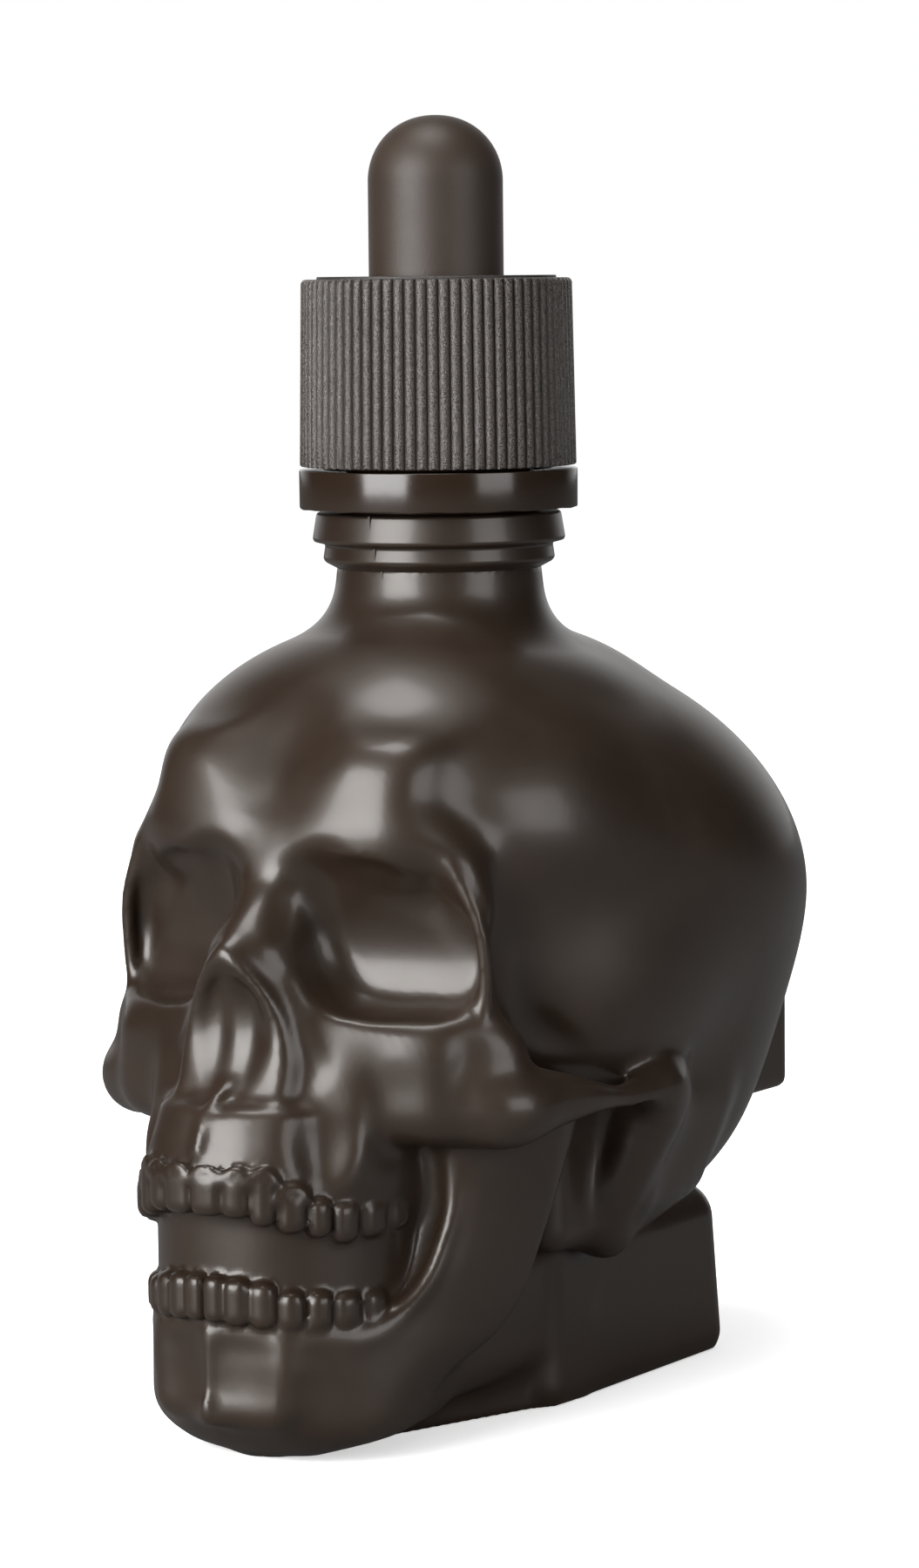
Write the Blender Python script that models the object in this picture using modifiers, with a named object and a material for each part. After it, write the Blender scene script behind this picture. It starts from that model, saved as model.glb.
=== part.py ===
# Skull dropper bottle for bitters: lacquered glass skull, tamper band, two-piece dropper cap, bulb, pipette.
# Millimetres are used while modelling and turned into metres when each mesh is made. +Z is up.
# The skull looks along -Y and the neck stands on the Z axis.
import math

import bpy
import bmesh
import numpy as np

# driving dimensions, mm
skull_width = 52.8
skull_length = 79.8
skull_height = 70.0
glass_wall = 2.2
floor_wall = 2.6

neck_diameter = 17.7
neck_bore_diameter = 11.0
collar_diameter = 21.94
collar_rise = 7.45
finish_diameter = 15.8
finish_height = 15.15
thread_pitch = 3.0
thread_turns = 1.3
thread_bead = 0.85
bead_diameter = 19.0

piece_gap = 0.3
thread_gap = 0.35

band_height = 3.4
band_overhang = 0.1

cap_wall = 1.55
cap_draft = 0.28
cap_height = 16.3
rib_count = 74
rib_depth = 0.36
shell_travel = 1.2

bulb_diameter = 11.66
bulb_height = 17.43
bulb_wall = 1.3
flange_diameter = 15.6
flange_height = 1.2

pipette_diameter = 7.0
pipette_wall = 1.0
pipette_tip_diameter = 2.8
pipette_tip_height = 10.0
pipette_taper = 12.0
pipette_nozzle = 4.0

# fits worked out from the dimensions above
neck_radius = neck_diameter / 2
collar_top = skull_height + collar_rise
neck_foot = collar_top - 4.6
neck_top = collar_top + finish_height
collar_radius = collar_diameter / 2
ring_radius = collar_radius - 0.91
thread_low = collar_top + 7.45
finish_radius = finish_diameter / 2
bore_radius = neck_bore_diameter / 2
band_bottom = collar_top + piece_gap
band_top = band_bottom + band_height
cap_bottom = band_top + piece_gap
cap_top = cap_bottom + cap_height
thread_radius = finish_radius + thread_bead
inner_bore = thread_radius + thread_gap
cap_bead = thread_bead - 0.1
inner_outer = inner_bore + 1.05
shell_bore = inner_outer + piece_gap
cap_radius = shell_bore + cap_wall
band_radius = cap_radius + band_overhang
flange_bottom = neck_top + piece_gap
flange_top = flange_bottom + flange_height
plate_bottom = flange_top + piece_gap
plate_top = plate_bottom + 1.2
roof_bottom = plate_top + piece_gap
bulb_radius = bulb_diameter / 2
bulb_hole = bulb_radius + piece_gap + 0.1
pipette_radius = pipette_diameter / 2
pipette_hole = pipette_radius + piece_gap
lug_height = shell_travel - piece_gap
lug_radius = (bulb_hole + inner_outer) / 2
snap_low = cap_bottom + 0.5
snap_top = snap_low + 0.8
disc_radius = cap_radius - cap_draft - rib_depth - 1.0

mm = 0.001

for old in list(bpy.data.objects):
    bpy.data.objects.remove(old)
for old in list(bpy.data.meshes):
    bpy.data.meshes.remove(old)

bottle = bpy.data.collections.new("skull_bitters_bottle")
cutters = bpy.data.collections.new("cutters")
bpy.context.scene.collection.children.link(bottle)
bpy.context.scene.collection.children.link(cutters)


def material(name, colour, roughness, metallic=0.0, transmission=0.0):
    found = bpy.data.materials.new(name)
    found.use_nodes = True
    shader = found.node_tree.nodes["Principled BSDF"]
    shader.inputs["Base Color"].default_value = (colour[0], colour[1], colour[2], 1.0)
    shader.inputs["Roughness"].default_value = roughness
    shader.inputs["Metallic"].default_value = metallic
    shader.inputs["Transmission Weight"].default_value = transmission
    return found


lacquer = material("black_lacquered_glass", (0.018, 0.014, 0.012), 0.32)
gloss = material("gloss_black_plastic", (0.016, 0.013, 0.011), 0.14)
gloss_inner = material("gloss_black_plastic_inner", (0.018, 0.015, 0.013), 0.22)
matt = material("textured_black_plastic", (0.030, 0.025, 0.022), 0.55)
rubber = material("black_rubber", (0.032, 0.027, 0.023), 0.62)
glass = material("clear_glass", (0.92, 0.95, 0.95), 0.03, 0.0, 1.0)


def place(name, mesh, look=None, where=bottle):
    thing = bpy.data.objects.new(name, mesh)
    where.objects.link(thing)
    if look is not None:
        mesh.materials.append(look)
    if where is cutters:
        thing.hide_render = True
        thing.display_type = "WIRE"
    return thing


def turned(name, profile, steps, look=None, where=bottle):
    """A profile of (radius, z) in mm, listed up its outer side, swept round Z by a Screw modifier."""
    mesh = bpy.data.meshes.new(name)
    points = [(r * mm, 0.0, z * mm) for r, z in reversed(profile)]
    edges = [(i, i + 1) for i in range(len(points) - 1)]
    if profile[0][0] > 0:
        edges.append((len(points) - 1, 0))
    mesh.from_pydata(points, edges, [])
    thing = place(name, mesh, look, where)
    screw = thing.modifiers.new("turn", "SCREW")
    screw.axis = "Z"
    screw.steps = steps
    screw.render_steps = steps
    screw.use_merge_vertices = True
    screw.merge_threshold = 0.00001
    screw.use_smooth_shade = True
    return thing


def helix(name, radius, start, turns, pitch, bead, per_turn):
    """A round thread bead on a right-hand helix, capped at both ends."""
    curve = bpy.data.curves.new(name, "CURVE")
    curve.dimensions = "3D"
    curve.bevel_depth = bead * mm
    curve.bevel_resolution = 1
    curve.use_fill_caps = True
    count = int(round(per_turn * turns)) + 1
    line = curve.splines.new("POLY")
    line.points.add(count - 1)
    for i in range(count):
        turn = turns * i / (count - 1)
        angle = 2 * math.pi * turn + 0.07
        taper = min(1.0, 0.25 + 3.0 * min(turn, turns - turn))
        line.points[i].co = (
            radius * math.cos(angle) * mm,
            radius * math.sin(angle) * mm,
            (start + pitch * turn) * mm,
            1.0,
        )
        line.points[i].radius = taper
    wire = bpy.data.objects.new(name, curve)
    cutters.objects.link(wire)
    seen = wire.evaluated_get(bpy.context.evaluated_depsgraph_get())
    mesh = bpy.data.meshes.new_from_object(seen)
    work = bmesh.new()
    work.from_mesh(mesh)
    bmesh.ops.remove_doubles(work, verts=work.verts, dist=0.000001)
    work.to_mesh(mesh)
    work.free()
    thing = place(name + "_bead", mesh, where=cutters)
    thing.matrix_world = wire.matrix_world
    bpy.data.objects.remove(wire)
    return thing


def combine(thing, other, operation, name):
    step = thing.modifiers.new(name, "BOOLEAN")
    step.operation = operation
    step.solver = "EXACT"
    step.object = other
    return step


def smooth_min(a, b, k):
    h = np.clip(0.5 + 0.5 * (b - a) / k, 0, 1)
    return b + (a - b) * h - k * h * (1 - h)


def smooth_max(a, b, k):
    return -smooth_min(-a, -b, k)


def turn_pair(a, b, degrees):
    c = math.cos(math.radians(degrees))
    s = math.sin(math.radians(degrees))
    return c * a + s * b, c * b - s * a


def corner(u, v, r):
    """Distance to two walls meeting in an edge rounded by r."""
    u = u + r
    v = v + r
    outside = np.sqrt(np.maximum(u, 0) ** 2 + np.maximum(v, 0) ** 2)
    return outside + np.minimum(np.maximum(u, v), 0) - r


def oval(x, y, a, b, middle):
    """Distance to an upright elliptical column."""
    near = np.sqrt((x / a) ** 2 + ((y - middle) / b) ** 2)
    slope = np.sqrt((x / a**2) ** 2 + ((y - middle) / b**2) ** 2)
    return near * (near - 1) / np.maximum(slope, 1e-4)


def local(x, y, z, centre, yaw, pitch, roll):
    x, y = turn_pair(x - centre[0], y - centre[1], yaw)
    y, z = turn_pair(y, z - centre[2], pitch)
    x, z = turn_pair(x, z, roll)
    return x, y, z


class Form:
    """A form of clay: its distance, and the low and high corners of the space it takes."""

    def __init__(self, measure, low, high):
        self.measure = measure
        self.low = low
        self.high = high


def around(measure, centre, reach):
    return Form(measure, [c - reach for c in centre], [c + reach for c in centre])


def egg(centre, radii, yaw=0, pitch=0, roll=0):
    def measure(x, y, z):
        x, y, z = local(x, y, z, centre, yaw, pitch, roll)
        a, b, c = radii
        near = np.sqrt((x / a) ** 2 + (y / b) ** 2 + (z / c) ** 2)
        slope = np.sqrt((x / a**2) ** 2 + (y / b**2) ** 2 + (z / c**2) ** 2)
        return near * (near - 1) / np.maximum(slope, 1e-6)

    return around(measure, centre, max(radii))


def block(centre, half, r, yaw=0, roll=0):
    def measure(x, y, z):
        x, y, z = local(x, y, z, centre, yaw, 0, roll)
        u = abs(x) - half[0] + r
        v = abs(y) - half[1] + r
        w = abs(z) - half[2] + r
        outside = np.sqrt(np.maximum(u, 0) ** 2 + np.maximum(v, 0) ** 2 + np.maximum(w, 0) ** 2)
        return outside + np.minimum(np.maximum(u, np.maximum(v, w)), 0) - r

    return around(measure, centre, math.hypot(*half))


def eased(points):
    """The points of a line with three more between each two, on a smooth curve."""
    line = [np.array(p, float) for p in points]
    found = []
    for i in range(len(line) - 1):
        b, c = line[i], line[i + 1]
        a = line[i - 1] if i else 2 * b - c
        d = line[i + 2] if i + 2 < len(line) else 2 * c - b
        for t in (0, 0.25, 0.5, 0.75):
            found.append(b + 0.5 * t * (c - a + t * (2 * a - 5 * b + 4 * c - d + t * (3 * (b - c) + d - a))))
    return found + [line[-1]]


def ridge(points):
    """A smooth tapering line of clay through (x, y, z, radius)."""
    line = eased(points)

    def measure(x, y, z):
        found = 30.0
        for first, second in zip(line[:-1], line[1:]):
            dx, dy, dz, dr = second - first
            u = x - first[0]
            v = y - first[1]
            w = z - first[2]
            t = np.clip((u * dx + v * dy + w * dz) / (dx * dx + dy * dy + dz * dz), 0, 1)
            gap = np.sqrt((u - dx * t) ** 2 + (v - dy * t) ** 2 + (w - dz * t) ** 2)
            found = np.minimum(found, gap - first[3] - dr * t)
        return found

    spread = np.array(line)
    thick = spread[:, 3].max()
    return Form(measure, spread[:, :3].min(0) - thick, spread[:, :3].max(0) + thick)


def socket(centre, opening, back, slope, r):
    """An eye socket: the (x, z) points round its opening, its flat back wall and their rounded corner."""
    turns = []
    for px, pz in opening:
        turns.append((math.atan2(pz - centre[1], px - centre[0]), math.hypot(pz - centre[1], px - centre[0])))
    (first, near), (last, far) = turns[0], turns[-1]
    round_trip = [(last - 2 * math.pi, far)] + turns + [(first + 2 * math.pi, near)]
    turns = np.array(eased(round_trip))

    def measure(x, y, z):
        angle = np.arctan2(z - centre[1], x - centre[0])
        edge = np.interp(angle, turns[:, 0], turns[:, 1])
        return corner(np.hypot(x - centre[0], z - centre[1]) - edge, y - back - slope * (x - centre[0]), r)

    far = turns[:, 1].max()
    return Form(measure, (centre[0] - far, -40, centre[1] - far), (centre[0] + far, back + 1, centre[1] + far))


class Clay:
    """The skull in the making: distances on a grid, worked form by form near each form only."""

    def __init__(self, x, y, z):
        self.lines = (x, y, z)
        self.distance = np.full((len(x), len(y), len(z)), 30.0, np.float32)

    def part(self, form, reach):
        cut = []
        for line, low, high in zip(self.lines, form.low, form.high):
            cut.append(slice(*np.searchsorted(line, (low - reach, high + reach))))
        x, y, z = (line[piece] for line, piece in zip(self.lines, cut))
        return tuple(cut), form.measure(x[:, None, None], y[None, :, None], z[None, None, :])

    def add(self, form, k):
        cut, found = self.part(form, k + 2.5)
        self.distance[cut] = smooth_min(self.distance[cut], found, k)

    def carve(self, form, k):
        cut, found = self.part(form, k + 3.5)
        self.distance[cut] = smooth_max(self.distance[cut], -found, k)


def along_arch(distance, a, b, middle):
    """Place and facing angle at a distance round a dental arch from its front."""
    t = np.linspace(0, math.pi / 2, 200)
    px = a * np.sin(t)
    py = middle - b * np.cos(t)
    arc = np.concatenate([[0], np.cumsum(np.hypot(np.diff(px), np.diff(py)))])
    if distance > arc[-1]:
        return a, middle + distance - arc[-1], 90.0
    q = float(np.interp(distance, arc, t))
    return a * math.sin(q), middle - b * math.cos(q), math.degrees(math.atan2(math.sin(q) / a, math.cos(q) / b))


# width, top and bottom of each tooth from the middle of the jaw outward, mm
upper_teeth = [
    (3.05, 25.4, 21.7),
    (2.42, 25.3, 21.6),
    (2.35, 25.2, 20.9),
    (2.75, 23.7, 20.2),
    (2.3, 23.0, 19.7),
    (2.8, 22.6, 19.0),
    (3.2, 22.4, 19.1),
    (3.3, 22.0, 19.3),
]
lower_teeth = [
    (2.0, 16.5, 12.6),
    (2.3, 16.4, 12.4),
    (2.5, 16.1, 12.2),
    (2.5, 15.4, 12.0),
    (2.5, 15.2, 11.9),
    (2.8, 14.9, 11.8),
    (2.9, 14.8, 11.7),
]


def set_teeth(clay, row, a, b, middle, depth, gap, gum):
    distance = 0.0
    for i, (width, top, low) in enumerate(row):
        x, y, yaw = along_arch(distance + width / 2, a, b, middle)
        side = math.sin(math.radians(yaw))
        front = math.cos(math.radians(yaw))
        half = (width / 2 - gap * (0.4 if i < 2 else 1), depth, (top - low) / 2)
        tooth = block((x - side * depth, y + front * depth, (top + low) / 2), half, min(width * 0.36, 0.95), yaw)
        clay.add(tooth, 0.3)
        if gum and i < 4:
            edge = top + 0.25 if gum > 0 else low - 0.25
            arc = []
            for across, drop in ((-0.5, 0.9), (-0.25, 0.15), (0.0, 0.0), (0.25, 0.15), (0.5, 0.9)):
                u, v, turn = along_arch(max(distance + width * (0.5 + across), 0.0), a, b, middle)
                inward = math.radians(turn)
                arc.append((u - math.sin(inward) * 0.6, v + math.cos(inward) * 0.6, edge - gum * drop, 0.42))
            clay.add(ridge(arc), 0.5)
        distance += width


def skull_clay(x, y, z):
    """Distances to the outside of the skull on the grid lines x, y, z in mm, below zero inside."""
    clay = Clay(x, y, z)
    # cranium
    clay.add(egg((0, 9.4, 46.1), (26.4, 30.5, 19.7), pitch=-17.7), 1)
    clay.add(egg((0, -8.4, 51.9), (20.8, 16.6, 15.4), pitch=-1), 7)
    clay.add(egg((0, 15.1, 30.4), (20, 22.7, 19.5)), 7)
    clay.add(egg((0, -0.5, 38.0), (24.2, 20.4, 15.5)), 5)

    clay.add(egg((0, 10.0, 59.9), (12, 7.5, 6.2)), 4.5)

    # brow
    brow = [
        (0, -24.3, 50.6, 2.0),
        (1.6, -24.5, 50.8, 2.0),
        (4.8, -24.9, 52.3, 2.0),
        (9.2, -24.4, 53.3, 2.0),
        (13.0, -22.9, 52.1, 1.7),
        (15.8, -21.2, 49.7, 1.6),
        (17.1, -20.6, 46, 1.3),
    ]
    clay.add(ridge(brow), 4.2)
    clay.add(block((10.2, -18.2, 43.0), (6.2, 2.7, 8.6), 1.6, 4), 2.0)
    # hollow of the temple
    temple = [
        (17.2, -19.4, 50.2, 0.1),
        (17.7, -18.8, 48.0, 0.7),
        (18.1, -18.4, 45.6, 1.4),
        (18.3, -18.0, 42.6, 2.1),
        (18.5, -17.5, 39.4, 2.5),
        (19.3, -16.1, 36.4, 2.7),
        (20.9, -13.4, 34.2, 2.5),
        (22.5, -10.4, 32.7, 2.0),
        (23.7, -7.2, 31.5, 1.2),
    ]
    clay.carve(ridge(temple), 0.4)
    # middle of the face
    clay.add(egg((0, -19.5, 36.5), (15.5, 9.0, 12.5)), 3)
    clay.add(egg((0, -22.5, 31.5), (12.0, 9.2, 8.0)), 2.5)
    side_wall = [
        (15.6, -21.8, 49.8, 1.2),
        (17.0, -21.1, 46.4, 1.15),
        (17.5, -20.6, 42.4, 1.1),
        (17.3, -20.5, 38.6, 1.3),
        (17.2, -19.8, 34.2, 2.3),
    ]
    clay.add(ridge(side_wall), 1.0)
    lower_rim = [
        (4.2, -27.9, 39.6, 0.9),
        (6.2, -27.2, 37.2, 0.9),
        (8.8, -26.9, 36.2, 0.9),
        (11.4, -26.0, 36.0, 0.9),
        (14.2, -24.4, 36.0, 1.1),
        (16.6, -22.2, 36.2, 1.4),
    ]
    clay.add(ridge(lower_rim), 1.1)
    # cheek bone and the arch behind it
    clay.add(block((15.4, -20.6, 31.4), (5.4, 2.7, 4.6), 2.0, 38), 1.8)
    arch = [
        (13.4, -21.8, 31.0, 3.0),
        (18.3, -19.7, 29.5, 3.6),
        (20.4, -15.4, 29.7, 2.6),
        (21.8, -11.6, 29.5, 1.7),
        (22.4, -7.6, 29.0, 1.2),
        (22.6, -4.0, 28.9, 1.5),
        (22.4, -1.0, 29.2, 2.0),
    ]
    clay.add(ridge(arch), 1.3)
    clay.add(ridge([(8.8, -25.2, 34.2, 1.7), (11.6, -24.4, 34.0, 1.9), (14.4, -22.8, 34.0, 2.2)]), 1.5)
    # crest below the cheek bone and the flat beside it
    crest = [(9.3, -26.7, 33.6, 0.9), (9.6, -27.4, 31.2, 1.0), (9.9, -27.8, 28.8, 1.0), (10.1, -28.3, 26.4, 0.9)]
    clay.add(ridge(crest), 1.3)
    clay.carve(egg((11.8, -28.6, 31.4), (2.1, 2.4, 3.6), yaw=16), 1.0)
    # nose bones
    clay.add(ridge([(0.4, -29.2, 41.6, 2.6), (1.8, -28.6, 38.5, 2.9), (2.2, -28.8, 34.5, 3.0), (2.2, -29.6, 31.5, 3.0)]), 2.0)
    clay.add(ridge([(6.2, -25.6, 35.0, 2.3), (6.9, -26.9, 31.5, 2.5), (7.0, -28.2, 28.4, 2.7), (6.8, -29.4, 26.0, 2.8)]), 2.0)
    clay.add(ridge([(0, -23.6, 51, 2.4), (0, -24.8, 47.8, 2.4), (0.6, -27.0, 45.0, 2.3), (1.0, -29.2, 42.6, 2.1)]), 2.2)
    clay.add(ridge([(0, -25.2, 48.9, 0.8), (0, -26.5, 46.9, 0.8), (0, -29.5, 44.9, 0.8), (0, -32.5, 42.6, 0.75)]), 1.4)
    clay.add(ridge([(3.0, -25.0, 47.0, 1.8), (3.5, -26.6, 41.5, 1.8), (4.4, -27.2, 37, 1.8), (5.8, -27.4, 32, 1.7)]), 1.6)
    # eye sockets
    opening = [
        (3.9, 42.4),
        (5.2, 39.6),
        (7.3, 37.6),
        (9.6, 37.1),
        (13.0, 37.1),
        (16.2, 37.4),
        (17.9, 38.8),
        (18.3, 41.4),
        (18.0, 44.3),
        (17.1, 46.8),
        (15.6, 48.9),
        (13.4, 50.7),
        (10.6, 51.9),
        (7.6, 51.8),
        (5.2, 50.9),
        (3.9, 48.9),
        (3.6, 45.6),
    ]
    clay.carve(socket((11.0, 44.4), opening, -20.5, 0.07, 2.6), 0.45)
    clay.carve(egg((5.8, -29.8, 47.6), (3.4, 4.6, 3.6)), 2.0)
    # thin lips of the sockets
    outer_lip = [
        (15.6, -22.6, 49.9, 0.4),
        (16.9, -22.2, 47.5, 0.55),
        (17.9, -21.8, 44.9, 0.55),
        (18.2, -21.4, 42.0, 0.55),
        (18.1, -21.2, 39.2, 0.55),
        (17.8, -21.3, 36.6, 0.5),
    ]
    clay.add(ridge(outer_lip), 0.5)
    clay.add(ridge([(4.1, -28.6, 40.0, 0.5), (4.7, -28.7, 37.5, 0.55), (5.8, -28.6, 35.2, 0.6), (7.0, -28.0, 33.4, 0.6)]), 1.0)
    # jaw
    def jaw(x, y, z):
        a = 16.5 + 0.21 * np.clip(z - 11, 0, 16) * np.clip((y + 24) / 12, 0, 1)
        found = smooth_max(oval(x, y, a, 19.4, -12.5), z - 29.5, 1.0)
        found = smooth_max(found, (y + 13.6 - 0.30 * (z - 10)) * 0.96, 1.1)
        back = np.maximum(y + 29, 0)
        border = -z + 0.58 * back * np.exp(-((back / 26) ** 2)) + 0.22 * np.maximum(x - 6, 0)
        found = smooth_max(found, border * 0.85, 4.5)
        mouth = oval(y + 31.5, z, 11.0, 11.7, 22)
        return smooth_max(found, -mouth, 1.0)

    clay.add(Form(jaw, (-20, -34, -1), (20, 0, 30)), 0.5)
    edge = [
        (14.2, -20.4, 25.8, 0.7),
        (14.4, -20.6, 21.4, 0.8),
        (14.0, -21.4, 18.3, 0.8),
        (13.3, -23.0, 15.0, 0.8),
        (11.7, -25.4, 12.4, 0.7),
        (9.6, -27.8, 11.1, 0.5),
    ]
    clay.add(ridge(edge), 0.8)
    # glass between jaw, cranium and plinth
    clay.add(block((0, -2.0, 17.0), (12.1, 18.5, 14.0), 3.0), 1.0)

    def chin(x, y, z):
        down = np.clip(12.6 - z, 0, 12)
        return corner(oval(x, y, 11.1 + 0.12 * down, 13.2 - 0.3 * down, -23.2), abs(z - 7.4) - 5.2, 2.2)

    clay.add(Form(chin, (-13, -36.5, 1), (13, -10, 13)), 3.0)

    def foot(x, y, z):
        found = smooth_max((x - 12.3) * 0.945 - y * 0.326, -y - 29.5, 4)
        found = np.maximum(smooth_max(found, z - 9.0, 1), y - 4)
        return smooth_max(found, x - 12.4, 1)

    clay.add(Form(foot, (-14, -30, -4), (14, 4, 9)), 1.5)

    # mouth wall and gums
    def mouth_wall(x, y, z):
        return corner(oval(x, y, 10.9, 11.7, -23.6), abs(z - 19) - 11, 0.5)

    def upper_gum(x, y, z):
        up = np.clip(z - 24, 0, 12)
        ends = np.maximum(25.0 - 0.225 * (y + 38) - z, (z - 30.8 + 0.4 * x) * 0.93)
        return corner(oval(x, y, 10.6 - 0.16 * up, 13.8 - 0.42 * up, -24), ends, 0.8)

    def lower_gum(x, y, z):
        return corner(oval(x, y, 11.0, 12.9, -23.2), np.maximum(z - 12.6 + 0.06 * (y + 36), 10.4 - z), 0.7)

    clay.add(Form(mouth_wall, (-12, -36, 7), (12, -12, 31)), 0.7)
    clay.add(Form(upper_gum, (-12, -38, 21), (12, -10, 32)), 2.8)
    clay.add(Form(lower_gum, (-12, -37, 5), (12, -10, 13)), 0.8)
    # nose opening: a shallow hollow with a fold down its middle
    clay.carve(egg((0, -34.6, 36.6), (4.9, 4.1, 6.6)), 0.9)
    # rim of the nose opening, running down to the eye tooth
    rim = [
        (0, -32.6, 42.6, 0.7),
        (1.5, -32.6, 41.4, 0.65),
        (3.1, -32.0, 39.4, 0.65),
        (4.1, -31.3, 37.0, 0.65),
        (4.6, -31.2, 34.4, 0.7),
        (4.6, -31.6, 32.2, 0.8),
        (4.6, -32.8, 29.8, 0.9),
        (5.0, -33.8, 27.2, 1.0),
    ]
    clay.add(ridge(rim), 1.4)
    clay.add(ridge([(0, -31.6, 41.4, 0.6), (0, -30.5, 38.6, 0.6), (0, -30.4, 35.4, 0.6), (0, -31.0, 32.0, 0.8)]), 2.0)
    clay.add(ridge([(0, -32.4, 31.2, 0.8), (0, -34.0, 30.9, 0.5), (0, -35.2, 29.6, 0.45), (0, -36.3, 28.2, 0.45), (0, -37.0, 26.8, 0.4)]), 0.9)
    # two short folds between the brows
    clay.add(ridge([(0.75, -26.0, 49.6, 0.3), (0.85, -26.1, 48.6, 0.4), (0.6, -26.7, 47.6, 0.3)]), 0.4)
    # chin: a crest between two flats
    clay.add(block((3.0, -33.0, 7.2), (3.4, 2.4, 3.2), 1.6, 15), 2.6)
    clay.add(ridge([(0, -35.6, 10.2, 0.5), (0, -36.2, 8.2, 0.6), (0, -36.4, 6.2, 0.6), (0, -35.6, 4.6, 0.6)]), 1.0)
    clay.carve(egg((3.4, -37.7, 7.2), (2.9, 2.4, 2.7), yaw=15), 1.0)
    set_teeth(clay, upper_teeth, 11.6, 14.3, -24, 1.5, 0.16, 1)
    set_teeth(clay, lower_teeth, 11.6, 13.5, -23.2, 1.5, 0.14, 0)
    # bone behind the ear, and the ear hollow
    clay.add(ridge([(20.4, 1.6, 28.0, 3.2), (18.8, 0.4, 22.5, 2.2), (16.6, 0.0, 17.0, 1.6), (15.4, 1.6, 15.0, 1.5)]), 3.0)
    clay.add(ridge([(15.6, 1.6, 15.2, 1.5), (14.6, 6.0, 16.6, 2.4), (13.5, 10.0, 18.6, 3.4)]), 2.4)
    clay.add(block((14.9, 8.6, 22.0), (3.5, 7.6, 5.2), 2.4, roll=-17), 3.4)
    clay.carve(egg((23.3, -4.4, 26.9), (2.4, 1.9, 1.2)), 0.6)

    # plinth under the back of the skull, and the pad on its back
    def plinth(x, y, z):
        t = 1 + 0.0027 * (z - 4)
        return block((0, 11.9, 7.2), (12.9, 15.8, 8.4), 3.2).measure(x * t, y * t, z)

    clay.add(Form(plinth, (-13, -4, -2), (13, 28, 16)), 0.6)
    clay.add(block((0, 34.6, 29.5), (11.2, 7.0, 7.6), 1.0), 0.8)
    return clay


def neck_stub(x, y, z):
    """The neck of the clay, a little wider toward the skull."""
    side = np.sqrt(x**2 + y**2) - neck_radius - 0.1 * (neck_foot - z)
    return np.maximum(side, np.maximum(z - neck_foot, skull_height - 10 - z))


def sample(step, offset):
    """The clay on a grid, mirrored to both sides; a positive offset moves its surface inward."""
    sx = skull_width / 52.8
    sy = skull_length / 79.8
    sz = skull_height / 70.0
    x = np.arange(0, 29.5 * sx, step)
    y = np.arange(-42.5 * sy, 44.5 * sy, step)
    z = np.arange(-3.2, 73.0 * sz + 1.2, step)
    clay = skull_clay(x / sx, y / sy, z / sz)
    clay.lines = (x, y, z)
    reach = neck_radius + 2
    clay.add(Form(neck_stub, (-reach, -reach, skull_height - 10), (reach, reach, neck_foot)), 4.5)
    values = clay.distance + offset
    if offset:
        values = np.maximum(values, floor_wall - z[None, None, :])
    values = np.concatenate([values[:0:-1], values], 0)
    return values, np.array([-x[-1], y[0], z[0]])


def fill_pinches(values):
    """Fills the grid corners where the surface would touch itself along an edge or at a point."""
    values = values.copy()
    for _ in range(6):
        inside = values < 0
        fill = np.zeros_like(inside)
        for a, b in ((0, 1), (0, 2), (1, 2)):
            parts = []
            for da, db in ((0, 0), (1, 1), (0, 1), (1, 0)):
                cut = [slice(None)] * 3
                cut[a] = slice(da, values.shape[a] - 1 + da)
                cut[b] = slice(db, values.shape[b] - 1 + db)
                parts.append(tuple(cut))
            p, q, r, t = [inside[part] for part in parts]
            pinched = ((p & q) & ~(r | t)) | (~(p | q) & (r & t))
            for part in parts:
                fill[part] |= pinched
        corners = []
        for i in range(8):
            offset = (i & 1, i >> 1 & 1, i >> 2)
            corners.append(tuple(slice(o, n - 1 + o) for o, n in zip(offset, values.shape)))
        count = sum(inside[cut].astype(int) for cut in corners)
        for i in range(4):
            first, last = inside[corners[i]], inside[corners[7 - i]]
            alone = (count == 2) & first & last | (count == 6) & ~first & ~last
            for cut in corners:
                fill[cut] |= alone
        fill &= ~inside
        if not fill.any():
            break
        values[fill] = -0.05
    return values


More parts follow.
